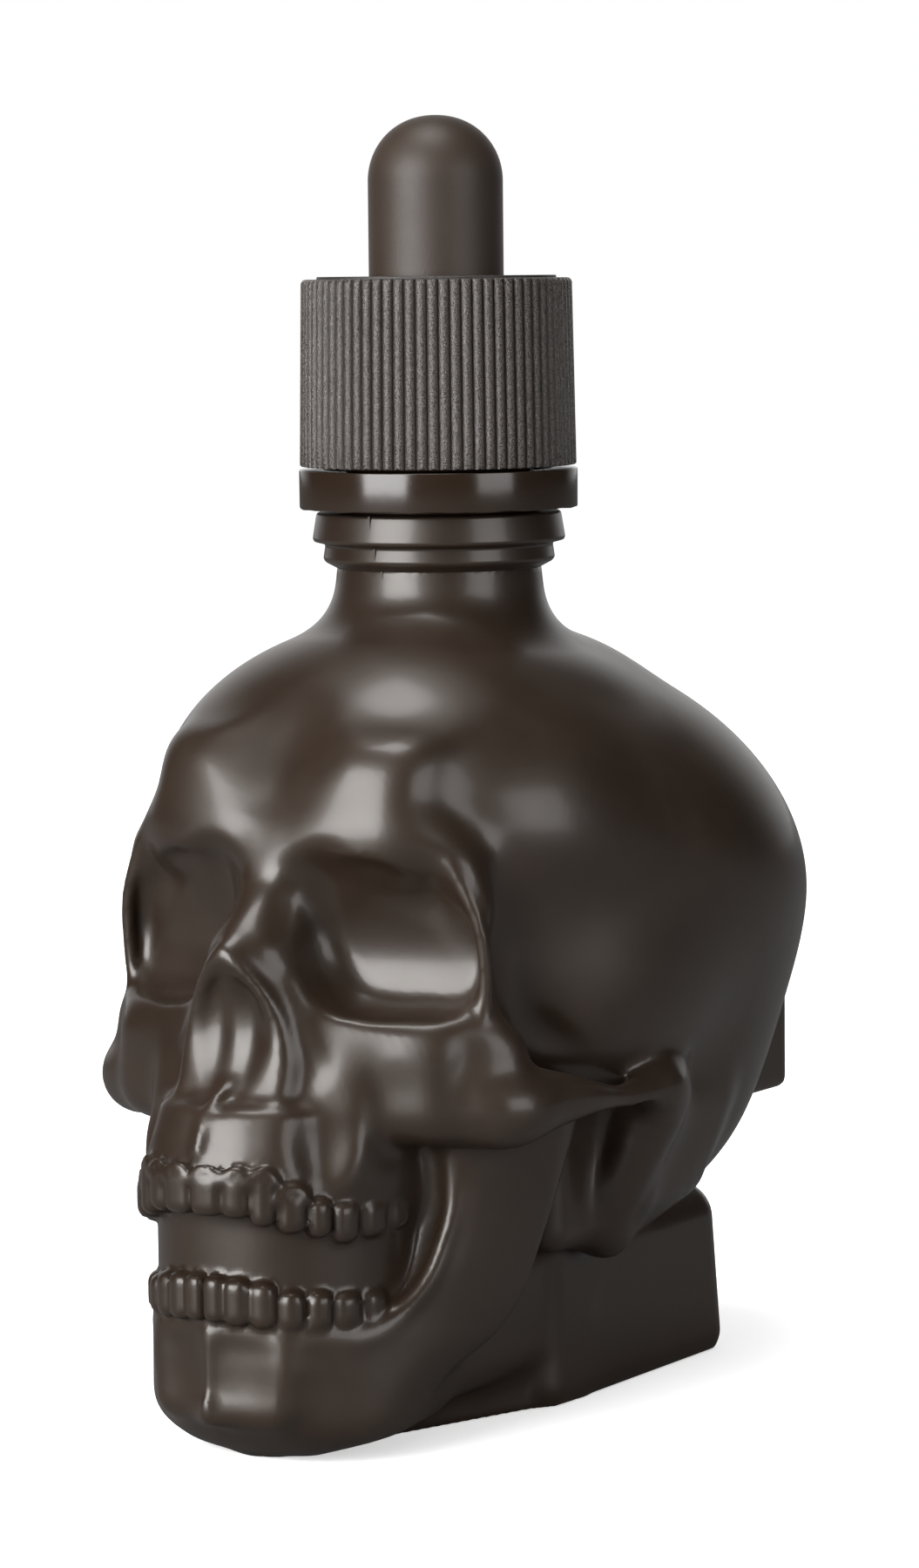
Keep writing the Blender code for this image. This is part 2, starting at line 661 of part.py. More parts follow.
def surface(values, low, step):
    """Points and four-sided faces of the zero surface of a grid of distances."""
    inside = values < 0
    shape = np.array(values.shape)
    cells = shape - 1
    total = np.zeros(tuple(cells) + (3,))
    count = np.zeros(tuple(cells))
    crossings = []
    for axis in range(3):
        first = [slice(None)] * 3
        second = [slice(None)] * 3
        first[axis] = slice(0, -1)
        second[axis] = slice(1, None)
        a = values[tuple(first)]
        b = values[tuple(second)]
        where = np.argwhere(inside[tuple(first)] != inside[tuple(second)])
        va = a[tuple(where.T)]
        vb = b[tuple(where.T)]
        place_at = where.astype(float)
        place_at[:, axis] += va / (va - vb)
        others = [k for k in range(3) if k != axis]
        for da in (0, 1):
            for db in (0, 1):
                cell = where.copy()
                cell[:, others[0]] -= da
                cell[:, others[1]] -= db
                good = np.all((cell >= 0) & (cell < cells), axis=1)
                keys = tuple(cell[good].T)
                for k in range(3):
                    np.add.at(total[..., k], keys, place_at[good][:, k])
                np.add.at(count, keys, 1)
        crossings.append((axis, others, where, va < 0))
    used = count > 0
    index = -np.ones(tuple(cells), int)
    index[used] = np.arange(int(used.sum()))
    points = total[used] / count[used][:, None] * step + low
    faces = []
    for axis, others, where, starts_inside in crossings:
        good = np.all((where[:, others] > 0) & (where[:, others] < cells[others]), axis=1)
        where = where[good]
        starts_inside = starts_inside[good]
        ring = []
        for da, db in ((0, 0), (1, 0), (1, 1), (0, 1)):
            cell = where.copy()
            cell[:, others[0]] -= da
            cell[:, others[1]] -= db
            ring.append(index[tuple(cell.T)])
        quad = np.stack(ring, 1)
        flip = starts_inside if axis != 1 else ~starts_inside
        quad[~flip] = quad[~flip][:, ::-1]
        faces.append(quad)
    return points, np.concatenate(faces)


def between(values, spots):
    """Trilinear reading of a grid at fractional grid spots."""
    top = np.array(values.shape) - 1.001
    spots = np.clip(spots, 0, top)
    base = spots.astype(int)
    part = spots - base
    found = 0
    for i in (0, 1):
        for j in (0, 1):
            for k in (0, 1):
                weight = (
                    (part[:, 0] if i else 1 - part[:, 0])
                    * (part[:, 1] if j else 1 - part[:, 1])
                    * (part[:, 2] if k else 1 - part[:, 2])
                )
                found = found + weight * values[base[:, 0] + i, base[:, 1] + j, base[:, 2] + k]
    return found


def settle(points, values, low, step, rounds=3):
    """Moves the points onto the zero surface."""
    slopes = np.gradient(values, step)
    for _ in range(rounds):
        spots = (points - low) / step
        value = between(values, spots)
        slope = np.stack([between(part, spots) for part in slopes], 1)
        points = points - slope * (value / ((slope**2).sum(1) + 1e-6))[:, None] * 0.8
    return points


def keep_connected(values, seed):
    """Fills every hollow of the grid that isn't joined to the seed point."""
    inside = values < 0
    reached = np.zeros_like(inside)
    reached[seed] = True
    size = 0
    while int(reached.sum()) != size:
        size = int(reached.sum())
        grown = reached.copy()
        for axis in range(3):
            for way in (1, -1):
                grown |= np.roll(reached, way, axis)
        reached = grown & inside
    values = values.copy()
    values[inside & ~reached] = 0.4
    return values


def clay_mesh(name, step, offset, ratio, look=None, where=bottle):
    values, low = sample(step, offset)
    if offset:
        seed = tuple(np.round((np.array([0, 0, 40.0]) - low) / step).astype(int))
        values = keep_connected(values, seed)
    values = fill_pinches(values)
    points, faces = surface(values, low, step)
    points = settle(points, values, low, step)
    mesh = bpy.data.meshes.new(name)
    mesh.from_pydata((points * mm).tolist(), [], faces.tolist())
    mesh.shade_smooth()
    thing = place(name, mesh, look, where)
    if ratio < 1:
        thin = thing.modifiers.new("thin_out", "DECIMATE")
        thin.ratio = ratio
    return thing


# glass skull: sculpted shell, turned neck finish with its thread, hollowed to the wall
skull = clay_mesh("skull_bottle", 0.6, 0.0, 0.052, lacquer)

finish = turned(
    "neck_finish",
    [
        (0, skull_height - 4),
        (neck_radius - 0.5, skull_height - 4),
        (neck_radius - 0.5, neck_foot - 0.5),
        (ring_radius - 0.2, neck_foot + 0.3),
        (ring_radius, neck_foot + 0.6),
        (ring_radius - 0.19, neck_foot + 1.85),
        (collar_radius - 0.1, neck_foot + 2.1),
        (collar_radius, neck_foot + 2.35),
        (collar_radius - 0.34, collar_top - 0.15),
        (collar_radius - 0.5, collar_top),
        (bead_diameter / 2 - 1.0, collar_top),
        (bead_diameter / 2 - 1.0, band_bottom + 1.75),
        (bead_diameter / 2, band_bottom + 1.95),
        (bead_diameter / 2, band_bottom + 2.6),
        (finish_radius, band_top),
        (finish_radius, neck_top - 0.4),
        (finish_radius - 0.4, neck_top),
        (0, neck_top),
    ],
    48,
    where=cutters,
)
thread = helix("neck_thread", finish_radius - 0.05, thread_low, thread_turns, thread_pitch, thread_bead, 28)
hollow = clay_mesh("hollow", 1.3, glass_wall, 0.08, where=cutters)
bore = turned("bore", [(0, 55.0), (bore_radius, 55.0), (bore_radius, neck_top + 2), (0, neck_top + 2)], 40, where=cutters)
mesh = bpy.data.meshes.new("table")
work = bmesh.new()
bmesh.ops.create_cube(work, size=1.0)
bmesh.ops.scale(work, vec=(0.12, 0.12, 0.01), verts=work.verts)
bmesh.ops.translate(work, vec=(0, 0, -0.005), verts=work.verts)
work.to_mesh(mesh)
work.free()
table = place("table", mesh, where=cutters)
combine(hollow, bore, "UNION", "join_bore")
combine(finish, thread, "UNION", "join_thread")
combine(skull, table, "DIFFERENCE", "flatten_base")
combine(skull, finish, "UNION", "join_neck")
combine(skull, hollow, "DIFFERENCE", "hollow_out")

# tamper band, caught under the bead of the neck
band = turned(
    "tamper_band",
    [
        (bead_diameter / 2 - 0.55, band_bottom),
        (band_radius - 0.15, band_bottom),
        (band_radius, band_bottom + 0.15),
        (band_radius, band_top - 0.2),
        (band_radius - 0.2, band_top),
        (bead_diameter / 2 + 0.4, band_top),
        (bead_diameter / 2 + 0.4, band_bottom + 1.7),
        (bead_diameter / 2 - 0.55, band_bottom + 1.45),
    ],
    56,
    gloss,
)

# inner cap with the thread that grips the neck
shoulder = snap_top + shell_travel + piece_gap
inner_cap = turned(
    "inner_cap",
    [
        (inner_bore, cap_bottom),
        (inner_outer - 0.4, cap_bottom),
        (inner_outer - 0.4, shoulder),
        (inner_outer, shoulder),
        (inner_outer, plate_top - 0.4),
        (inner_outer - 0.4, plate_top),
        (bulb_hole, plate_top),
        (bulb_hole, plate_bottom),
        (inner_bore, plate_bottom),
    ],
    48,
    gloss_inner,
)
cap_thread = helix(
    "cap_thread",
    inner_bore + 0.05,
    thread_low - thread_pitch / 2,
    thread_turns,
    thread_pitch,
    cap_bead,
    28,
)
combine(inner_cap, cap_thread, "UNION", "join_thread")


def lugs(name, grow, low, high):
    """Six driving lugs standing on the inner cap, or the pockets they sit in."""
    mesh = bpy.data.meshes.new(name)
    work = bmesh.new()
    for i in range(6):
        made = bmesh.ops.create_cube(work, size=1.0)["verts"]
        bmesh.ops.scale(work, vec=(1.7 + 2 * grow, 1.6 + 2 * grow, high - low), verts=made)
        bmesh.ops.translate(work, vec=(lug_radius, 0, (high + low) / 2), verts=made)
        for v in made:
            v.co.x, v.co.y = turn_pair(v.co.x, v.co.y, -60 * i - 30)
    bmesh.ops.scale(work, vec=(mm, mm, mm), verts=work.verts)
    work.to_mesh(mesh)
    work.free()
    return place(name, mesh, where=cutters)


drive = lugs("drive_lugs", 0.0, plate_top - 0.6, plate_top + lug_height)
combine(inner_cap, drive, "UNION", "join_lugs")

# outer shell: a ribbed drum with draft, hollowed over the inner cap
mesh = bpy.data.meshes.new("outer_cap")
work = bmesh.new()
bmesh.ops.create_cone(
    work,
    cap_ends=True,
    segments=rib_count * 4,
    radius1=cap_radius,
    radius2=cap_radius - cap_draft,
    depth=cap_height - 0.25,
)
for v in work.verts:
    corner_number = round(math.atan2(v.co.y, v.co.x) / (2 * math.pi) * rib_count * 4)
    if corner_number % 4 in (0, 1):
        radius = math.hypot(v.co.x, v.co.y)
        v.co.xy *= (radius - rib_depth) / radius
bmesh.ops.translate(work, vec=(0, 0, (cap_bottom + cap_top - 0.25) / 2), verts=work.verts)
bmesh.ops.scale(work, vec=(mm, mm, mm), verts=work.verts)
work.to_mesh(mesh)
work.free()
outer_cap = place("outer_cap", mesh, matt)
disc = turned(
    "top_disc",
    [
        (0, cap_top - 1.0),
        (disc_radius, cap_top - 1.0),
        (disc_radius, cap_top - 0.08),
        (disc_radius - 0.08, cap_top),
        (0, cap_top),
    ],
    48,
    where=cutters,
)
room = turned(
    "shell_room",
    [
        (0, cap_bottom - 1),
        (shell_bore, cap_bottom - 1),
        (shell_bore, snap_low),
        (inner_outer - 0.1, snap_low + 0.1),
        (inner_outer - 0.1, snap_top - 0.1),
        (shell_bore, snap_top + 0.1),
        (shell_bore, roof_bottom),
        (bulb_hole, roof_bottom),
        (bulb_hole, cap_top + 1),
        (0, cap_top + 1),
    ],
    48,
    where=cutters,
)
pockets = lugs("lug_pockets", piece_gap, roof_bottom - 0.5, plate_top + lug_height + 0.25)
combine(outer_cap, disc, "UNION", "join_disc")
combine(outer_cap, pockets, "DIFFERENCE", "cut_pockets")
combine(outer_cap, room, "DIFFERENCE", "hollow_out")

# rubber bulb with the flange that seals the neck
bulb_top = flange_top + bulb_height
dome = bulb_radius - 0.2
inside = bulb_radius - bulb_wall
profile = [(pipette_hole, flange_bottom), (flange_diameter / 2, flange_bottom), (flange_diameter / 2, flange_top)]
profile += [(bulb_radius, flange_top), (bulb_radius, bulb_top - dome)]
for k in range(1, 6):
    t = math.pi / 2 * k / 6
    profile.append((bulb_radius * math.cos(t), bulb_top - dome + dome * math.sin(t)))
profile.append((0, bulb_top))
inner_line = [(0, bulb_top - bulb_wall)]
for k in range(5, 0, -1):
    t = math.pi / 2 * k / 6
    inner_line.append((inside * math.cos(t), bulb_top - dome + (dome - bulb_wall) * math.sin(t)))
inner_line += [(inside, bulb_top - dome), (inside, flange_top + 2.2), (pipette_hole, flange_top + 1.9)]
profile = inner_line + profile


bulb = turned("bulb", profile, 40, rubber)

# glass pipette hanging from the bulb by its flared rim
rim_low = flange_top + 2.2 + piece_gap
inner_glass = pipette_radius - pipette_wall
tip = pipette_tip_diameter / 2
pipette = turned(
    "pipette",
    [
        (tip - 0.7, pipette_tip_height),
        (tip, pipette_tip_height),
        (tip + 0.15, pipette_tip_height + pipette_nozzle),
        (pipette_radius, pipette_tip_height + pipette_taper),
        (pipette_radius, rim_low - 0.2),
        (pipette_radius + 0.75, rim_low + 0.3),
        (pipette_radius + 0.75, rim_low + 0.8),
        (pipette_radius + 0.3, rim_low + 1.2),
        (inner_glass, rim_low + 1.2),
        (inner_glass, pipette_tip_height + pipette_taper + 0.6),
        (tip - 0.65, pipette_tip_height + pipette_nozzle),
    ],
    32,
    glass,
)

axis = bpy.data.objects.new("dropper_axis", None)
bottle.objects.link(axis)
for thing in (inner_cap, outer_cap, bulb, pipette):
    thing.parent = axis
print("pieces:", ", ".join(sorted(thing.name for thing in bottle.objects if thing.type == "MESH")))
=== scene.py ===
# Skull bottle for bitters, with a ribbed dropper cap, on a pale table.
# The frame is in metres. Forms are worked out in millimetres and scaled by mm.
import math

import bmesh
import bpy
import numpy as np
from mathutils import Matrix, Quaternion, Vector


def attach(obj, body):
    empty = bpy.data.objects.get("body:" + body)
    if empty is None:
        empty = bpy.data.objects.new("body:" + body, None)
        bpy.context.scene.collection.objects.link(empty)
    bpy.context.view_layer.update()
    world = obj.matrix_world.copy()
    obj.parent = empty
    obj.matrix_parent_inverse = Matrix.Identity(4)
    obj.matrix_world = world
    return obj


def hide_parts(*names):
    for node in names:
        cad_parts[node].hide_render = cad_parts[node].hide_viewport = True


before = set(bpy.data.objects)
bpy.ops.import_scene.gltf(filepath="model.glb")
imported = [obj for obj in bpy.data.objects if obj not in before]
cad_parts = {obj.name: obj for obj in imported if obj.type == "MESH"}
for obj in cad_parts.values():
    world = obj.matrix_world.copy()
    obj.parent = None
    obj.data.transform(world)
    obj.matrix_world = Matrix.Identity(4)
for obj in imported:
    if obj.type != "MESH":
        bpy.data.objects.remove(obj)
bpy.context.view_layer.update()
mm = 0.001
print("frame loaded:", ", ".join(sorted(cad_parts)))


# camera and table

view = {
    "focalPixels": 5640.7,  # fitted to the photograph's frame
    "width": 1055,
    "height": 1800,
    "distance": 426.65,  # mm from the neck's axis
    "eyeHeight": 97.63,  # mm over the table
    "azimuth": 33.5,
    "axisPixel": 506.8,
    "horizonPixel": 318,
    "roll": 0.574,
}


def addCamera():
    data = bpy.data.cameras.new("camera")
    data.sensor_width = 36
    data.lens = view["focalPixels"] / view["height"] * 36
    data.clip_start = 0.01
    camera = bpy.data.objects.new("camera", data)
    bpy.context.scene.collection.objects.link(camera)
    turn = math.radians(view["azimuth"])
    away = view["distance"] * mm
    camera.location = (away * math.sin(turn), -away * math.cos(turn), view["eyeHeight"] * mm)
    pitch = math.atan((view["height"] / 2 - view["horizonPixel"]) / view["focalPixels"])
    yaw = math.atan((view["width"] / 2 - view["axisPixel"]) / view["focalPixels"])
    ahead = Vector((-math.sin(turn), math.cos(turn), 0))
    right = Vector((math.cos(turn), math.sin(turn), 0))
    look = (ahead + right * math.tan(yaw)).normalized()
    look = look * math.cos(pitch) + Vector((0, 0, -1)) * math.sin(pitch)
    camera.rotation_mode = "QUATERNION"
    camera.rotation_quaternion = Quaternion(look, math.radians(view["roll"])) @ look.to_track_quat("-Z", "Y")
    bpy.context.scene.camera = camera


addCamera()


# shader sums written as plain expressions

class Flow:
    def __init__(self, tree, socket=None):
        self.tree = tree
        self.socket = socket
        self.at = None  # object coordinates, where a finish needs them

    def node(self, kind, settings=None, sockets=None, output=0):
        made = self.tree.nodes.new(kind)
        for name, setting in (settings or {}).items():
            setattr(made, name, setting)
        for name, given in (sockets or {}).items():
            if isinstance(given, Flow):
                self.tree.links.new(given.socket, made.inputs[name])
            else:
                made.inputs[name].default_value = given
        return Flow(self.tree, made.outputs[output])

    def sum(self, operation, first, second=0.0):
        return self.node("ShaderNodeMath", {"operation": operation}, {0: first, 1: second})

    def __add__(self, other):
        return self.sum("ADD", self, other)

    def __radd__(self, other):
        return self.sum("ADD", other, self)

    def __sub__(self, other):
        return self.sum("SUBTRACT", self, other)

    def __rsub__(self, other):
        return self.sum("SUBTRACT", other, self)

    def __mul__(self, other):
        return self.sum("MULTIPLY", self, other)

    def __rmul__(self, other):
        return self.sum("MULTIPLY", other, self)

    def __pow__(self, other):
        return self.sum("POWER", self, other)

    def smoothed(self, low, high):
        ends = {"Value": self, "From Min": low, "From Max": high, "To Min": 0.0, "To Max": 1.0}
        return self.node("ShaderNodeMapRange", {"interpolation_type": "SMOOTHSTEP"}, ends)

    def noise(self, at, size, detail=3.0, rough=0.5):
        sockets = {"Vector": at, "Scale": 1 / (size * mm), "Detail": detail, "Roughness": rough}
        return self.node("ShaderNodeTexNoise", {}, sockets)

    def tint(self, mask, first, second):
        settings = {"data_type": "RGBA"}
        return self.node("ShaderNodeMix", settings, {0: mask, 6: (*first, 1), 7: (*second, 1)}, 2)

    def bump(self, height, depth, strength=1.0):
        sockets = {"Height": height, "Distance": depth * mm, "Strength": strength}
        return self.node("ShaderNodeBump", {}, sockets)


def newMaterial(name, fixed):
    made = bpy.data.materials.new(name)
    made.use_nodes = True
    shader = made.node_tree.nodes["Principled BSDF"]
    for socket, value in fixed.items():
        shader.inputs[socket].default_value = value
    start = Flow(made.node_tree)
    start.at = start.node("ShaderNodeTexCoord", output=3)
    return made, shader, start


def feed(shader, socket, flow):
    flow.tree.links.new(flow.socket, shader.inputs[socket])


# sculpting with distances, in mm

skull = {
    "step": 0.35,  # grid of the sculpt
    "hollowStep": 1.0,  # grid of the hollow, which nobody sees
    "side": 29.5,  # the grid's reach from the middle plane
    "front": -42.5,
    "back": 44.5,
    "under": -3.2,
    "over": 74.2,
    "height": 70.0,
    "neckRadius": 8.85,
    "neckFoot": 72.85,
    "neckTaper": 0.1,  # the neck's foot widens by this share downward
    "neckBlend": 3.8,
    "faceLimit": 38.17,  # how far the face may stand out to the front
    "wall": 2.2,
    "floorWall": 2.6,
    "footGap": 0.02,  # the underside over the table
    "heart": (0, 0, 40.0),  # a point inside the hollow
    "boreFoot": 55.0,
}


def smoothMin(a, b, k):  # joins two forms, with a fillet about k wide
    h = np.clip(0.5 + 0.5 * (b - a) / k, 0, 1)
    return b + (a - b) * h - k * h * (1 - h)


def smoothMax(a, b, k):
    return -smoothMin(-a, -b, k)


def turnPair(a, b, degrees):
    c = math.cos(math.radians(degrees))
    s = math.sin(math.radians(degrees))
    return c * a + s * b, c * b - s * a


def corner(u, v, r):  # where two walls meet, rounded by r
    u = u + r
    v = v + r
    outside = np.sqrt(np.maximum(u, 0) ** 2 + np.maximum(v, 0) ** 2)
    return outside + np.minimum(np.maximum(u, v), 0) - r


def oval(x, y, a, b, middle):  # upright wall round an ellipse with its centre at y = middle
    near = np.sqrt((x / a) ** 2 + ((y - middle) / b) ** 2)
    slope = np.sqrt((x / a**2) ** 2 + ((y - middle) / b**2) ** 2)
    return near * (near - 1) / np.maximum(slope, 1e-4)


def local(x, y, z, centre, yaw, pitch, roll):
    x, y = turnPair(x - centre[0], y - centre[1], yaw)
    y, z = turnPair(y, z - centre[2], pitch)
    x, z = turnPair(x, z, roll)
    return x, y, z


class Form:  # a distance in mm, and the box that it matters in
    def __init__(self, measure, low, high):
        self.measure = measure
        self.low = low
        self.high = high


def around(measure, centre, reach):
    return Form(measure, [c - reach for c in centre], [c + reach for c in centre])


def egg(centre, radii, yaw=0, pitch=0, roll=0):
    def measure(x, y, z):
        x, y, z = local(x, y, z, centre, yaw, pitch, roll)
        a, b, c = radii
        near = np.sqrt((x / a) ** 2 + (y / b) ** 2 + (z / c) ** 2)
        slope = np.sqrt((x / a**2) ** 2 + (y / b**2) ** 2 + (z / c**2) ** 2)
        return near * (near - 1) / np.maximum(slope, 1e-6)

    return around(measure, centre, max(radii))


def block(centre, half, r, yaw=0, roll=0, pitch=0):
    def measure(x, y, z):
        x, y, z = local(x, y, z, centre, yaw, pitch, roll)
        u = abs(x) - half[0] + r
        v = abs(y) - half[1] + r
        w = abs(z) - half[2] + r
        outside = np.sqrt(np.maximum(u, 0) ** 2 + np.maximum(v, 0) ** 2 + np.maximum(w, 0) ** 2)
        return outside + np.minimum(np.maximum(u, np.maximum(v, w)), 0) - r

    return around(measure, centre, math.hypot(*half))


def eased(points):  # adds points between the given ones, along a smooth curve
    line = [np.array(p, float) for p in points]
    found = []
    for i in range(len(line) - 1):
        b, c = line[i], line[i + 1]
        a = line[i - 1] if i else 2 * b - c
        d = line[i + 2] if i + 2 < len(line) else 2 * c - b
        for t in (0, 0.25, 0.5, 0.75):
            found.append(b + 0.5 * t * (c - a + t * (2 * a - 5 * b + 4 * c - d + t * (3 * (b - c) + d - a))))
    return found + [line[-1]]


def ridge(points):  # a rod through (x, y, z, radius) points
    line = eased(points)

    def measure(x, y, z):
        found = 30.0
        for first, second in zip(line[:-1], line[1:]):
            dx, dy, dz, dr = second - first
            u = x - first[0]
            v = y - first[1]
            w = z - first[2]
            t = np.clip((u * dx + v * dy + w * dz) / (dx * dx + dy * dy + dz * dz), 0, 1)
            gap = np.sqrt((u - dx * t) ** 2 + (v - dy * t) ** 2 + (w - dz * t) ** 2)
            found = np.minimum(found, gap - first[3] - dr * t)
        return found

    spread = np.array(line)
    thick = spread[:, 3].max()
    return Form(measure, spread[:, :3].min(0) - thick, spread[:, :3].max(0) + thick)


def socket(centre, opening, back, slope, bend, level, r):  # bore of the eye, with a bent back wall
    turns = []
    for px, pz in opening:
        across = px - centre[0]
        up = pz - centre[1]
        turns.append((math.atan2(up, across), math.hypot(up, across)))
    (first, near), (last, far) = turns[0], turns[-1]
    roundTrip = [(last - 2 * math.pi, far)] + turns + [(first + 2 * math.pi, near)]
    turns = np.array(eased(roundTrip))

    def measure(x, y, z):
        angle = np.arctan2(z - centre[1], x - centre[0])
        edge = np.interp(angle, turns[:, 0], turns[:, 1])
        wall = y - back - slope * (x - centre[0]) + bend * (z - level) ** 2
        return corner(np.hypot(x - centre[0], z - centre[1]) - edge, wall, r)

    far = turns[:, 1].max()
    low = (centre[0] - far, -40, centre[1] - far)
    high = (centre[0] + far, back + 2, centre[1] + far)
    return Form(measure, low, high)


class Clay:  # distances on a grid of half the skull, which is mirrored later
    def __init__(self, x, y, z):
        self.lines = (x, y, z)
        self.distance = np.full((len(x), len(y), len(z)), 30.0, np.float32)

    def part(self, form, reach):
        cut = []
        for line, low, high in zip(self.lines, form.low, form.high):
            cut.append(slice(*np.searchsorted(line, (low - reach, high + reach))))
        x, y, z = (line[piece] for line, piece in zip(self.lines, cut))
        return tuple(cut), form.measure(x[:, None, None], y[None, :, None], z[None, None, :])

    def add(self, form, k):
        cut, found = self.part(form, k + 2.5)
        self.distance[cut] = smoothMin(self.distance[cut], found, k)

    def carve(self, form, k):
        cut, found = self.part(form, k + 3.5)
        self.distance[cut] = smoothMax(self.distance[cut], -found, k)

    def soften(self, reach):  # blurs the distances, so the joins made so far turn round
        step = self.lines[0][1] - self.lines[0][0]
        for _ in range(round(2 * (reach / step) ** 2)):
            for axis in range(3):
                edges = [(int(k == axis),) * 2 for k in range(3)]
                rows = np.moveaxis(np.pad(self.distance, edges, "reflect"), axis, 0)
                rows = (rows[:-2] + 2 * rows[1:-1] + rows[2:]) / 4
                self.distance = np.moveaxis(rows, 0, axis)


def alongArch(distance, a, b, middle):  # the point on a row of teeth, and the way it faces
    t = np.linspace(0, math.pi / 2, 200)
    px = a * np.sin(t)
    py = middle - b * np.cos(t)
    arc = np.concatenate([[0], np.cumsum(np.hypot(np.diff(px), np.diff(py)))])
    if distance > arc[-1]:
        return a, middle + distance - arc[-1], 90.0
    q = float(np.interp(distance, arc, t))
    turn = math.degrees(math.atan2(math.sin(q) / a, math.cos(q) / b))
    return a * math.sin(q), middle - b * math.cos(q), turn


# width, top and bottom of each tooth from the middle of the jaw outward, mm
upperTeeth = [
    (3.05, 25.4, 21.7),
    (2.42, 25.3, 21.6),
    (2.35, 25.2, 20.9),
    (2.75, 23.7, 20.2),
    (2.3, 23.0, 19.7),
    (2.8, 22.6, 19.0),
    (3.2, 22.4, 19.1),
    (3.3, 22.0, 19.3),
]
lowerTeeth = [
    (2.0, 16.5, 12.6),
    (2.3, 16.4, 12.4),
    (2.5, 16.1, 12.2),
    (2.5, 15.4, 12.0),
    (2.5, 15.2, 11.9),
    (2.8, 14.9, 11.8),
    (2.9, 14.8, 11.7),
]


def setTeeth(clay, row, a, b, middle, depth, gap, gumLines):
    distance = 0.0
    for i, (width, top, low) in enumerate(row):
        x, y, yaw = alongArch(distance + width / 2, a, b, middle)
        side = math.sin(math.radians(yaw))
        front = math.cos(math.radians(yaw))
        centre = (x - side * depth, y + front * depth, (top + low) / 2)
        half = (width / 2 - gap * (0.4 if i < 2 else 1), depth, (top - low) / 2)
        clay.add(block(centre, half, min(width * 0.36, 0.95), yaw), 0.3)
        if gumLines and i < 4:
            edge = top + 0.25
            arc = []
            for across, drop in ((-0.5, 0.9), (-0.25, 0.15), (0.0, 0.0), (0.25, 0.15), (0.5, 0.9)):
                u, v, turn = alongArch(max(distance + width * (0.5 + across), 0.0), a, b, middle)
                inward = math.radians(turn)
                arc.append((u - math.sin(inward) * 0.6, v + math.cos(inward) * 0.6, edge - drop, 0.42))
            clay.add(ridge(arc), 0.5)
        distance += width


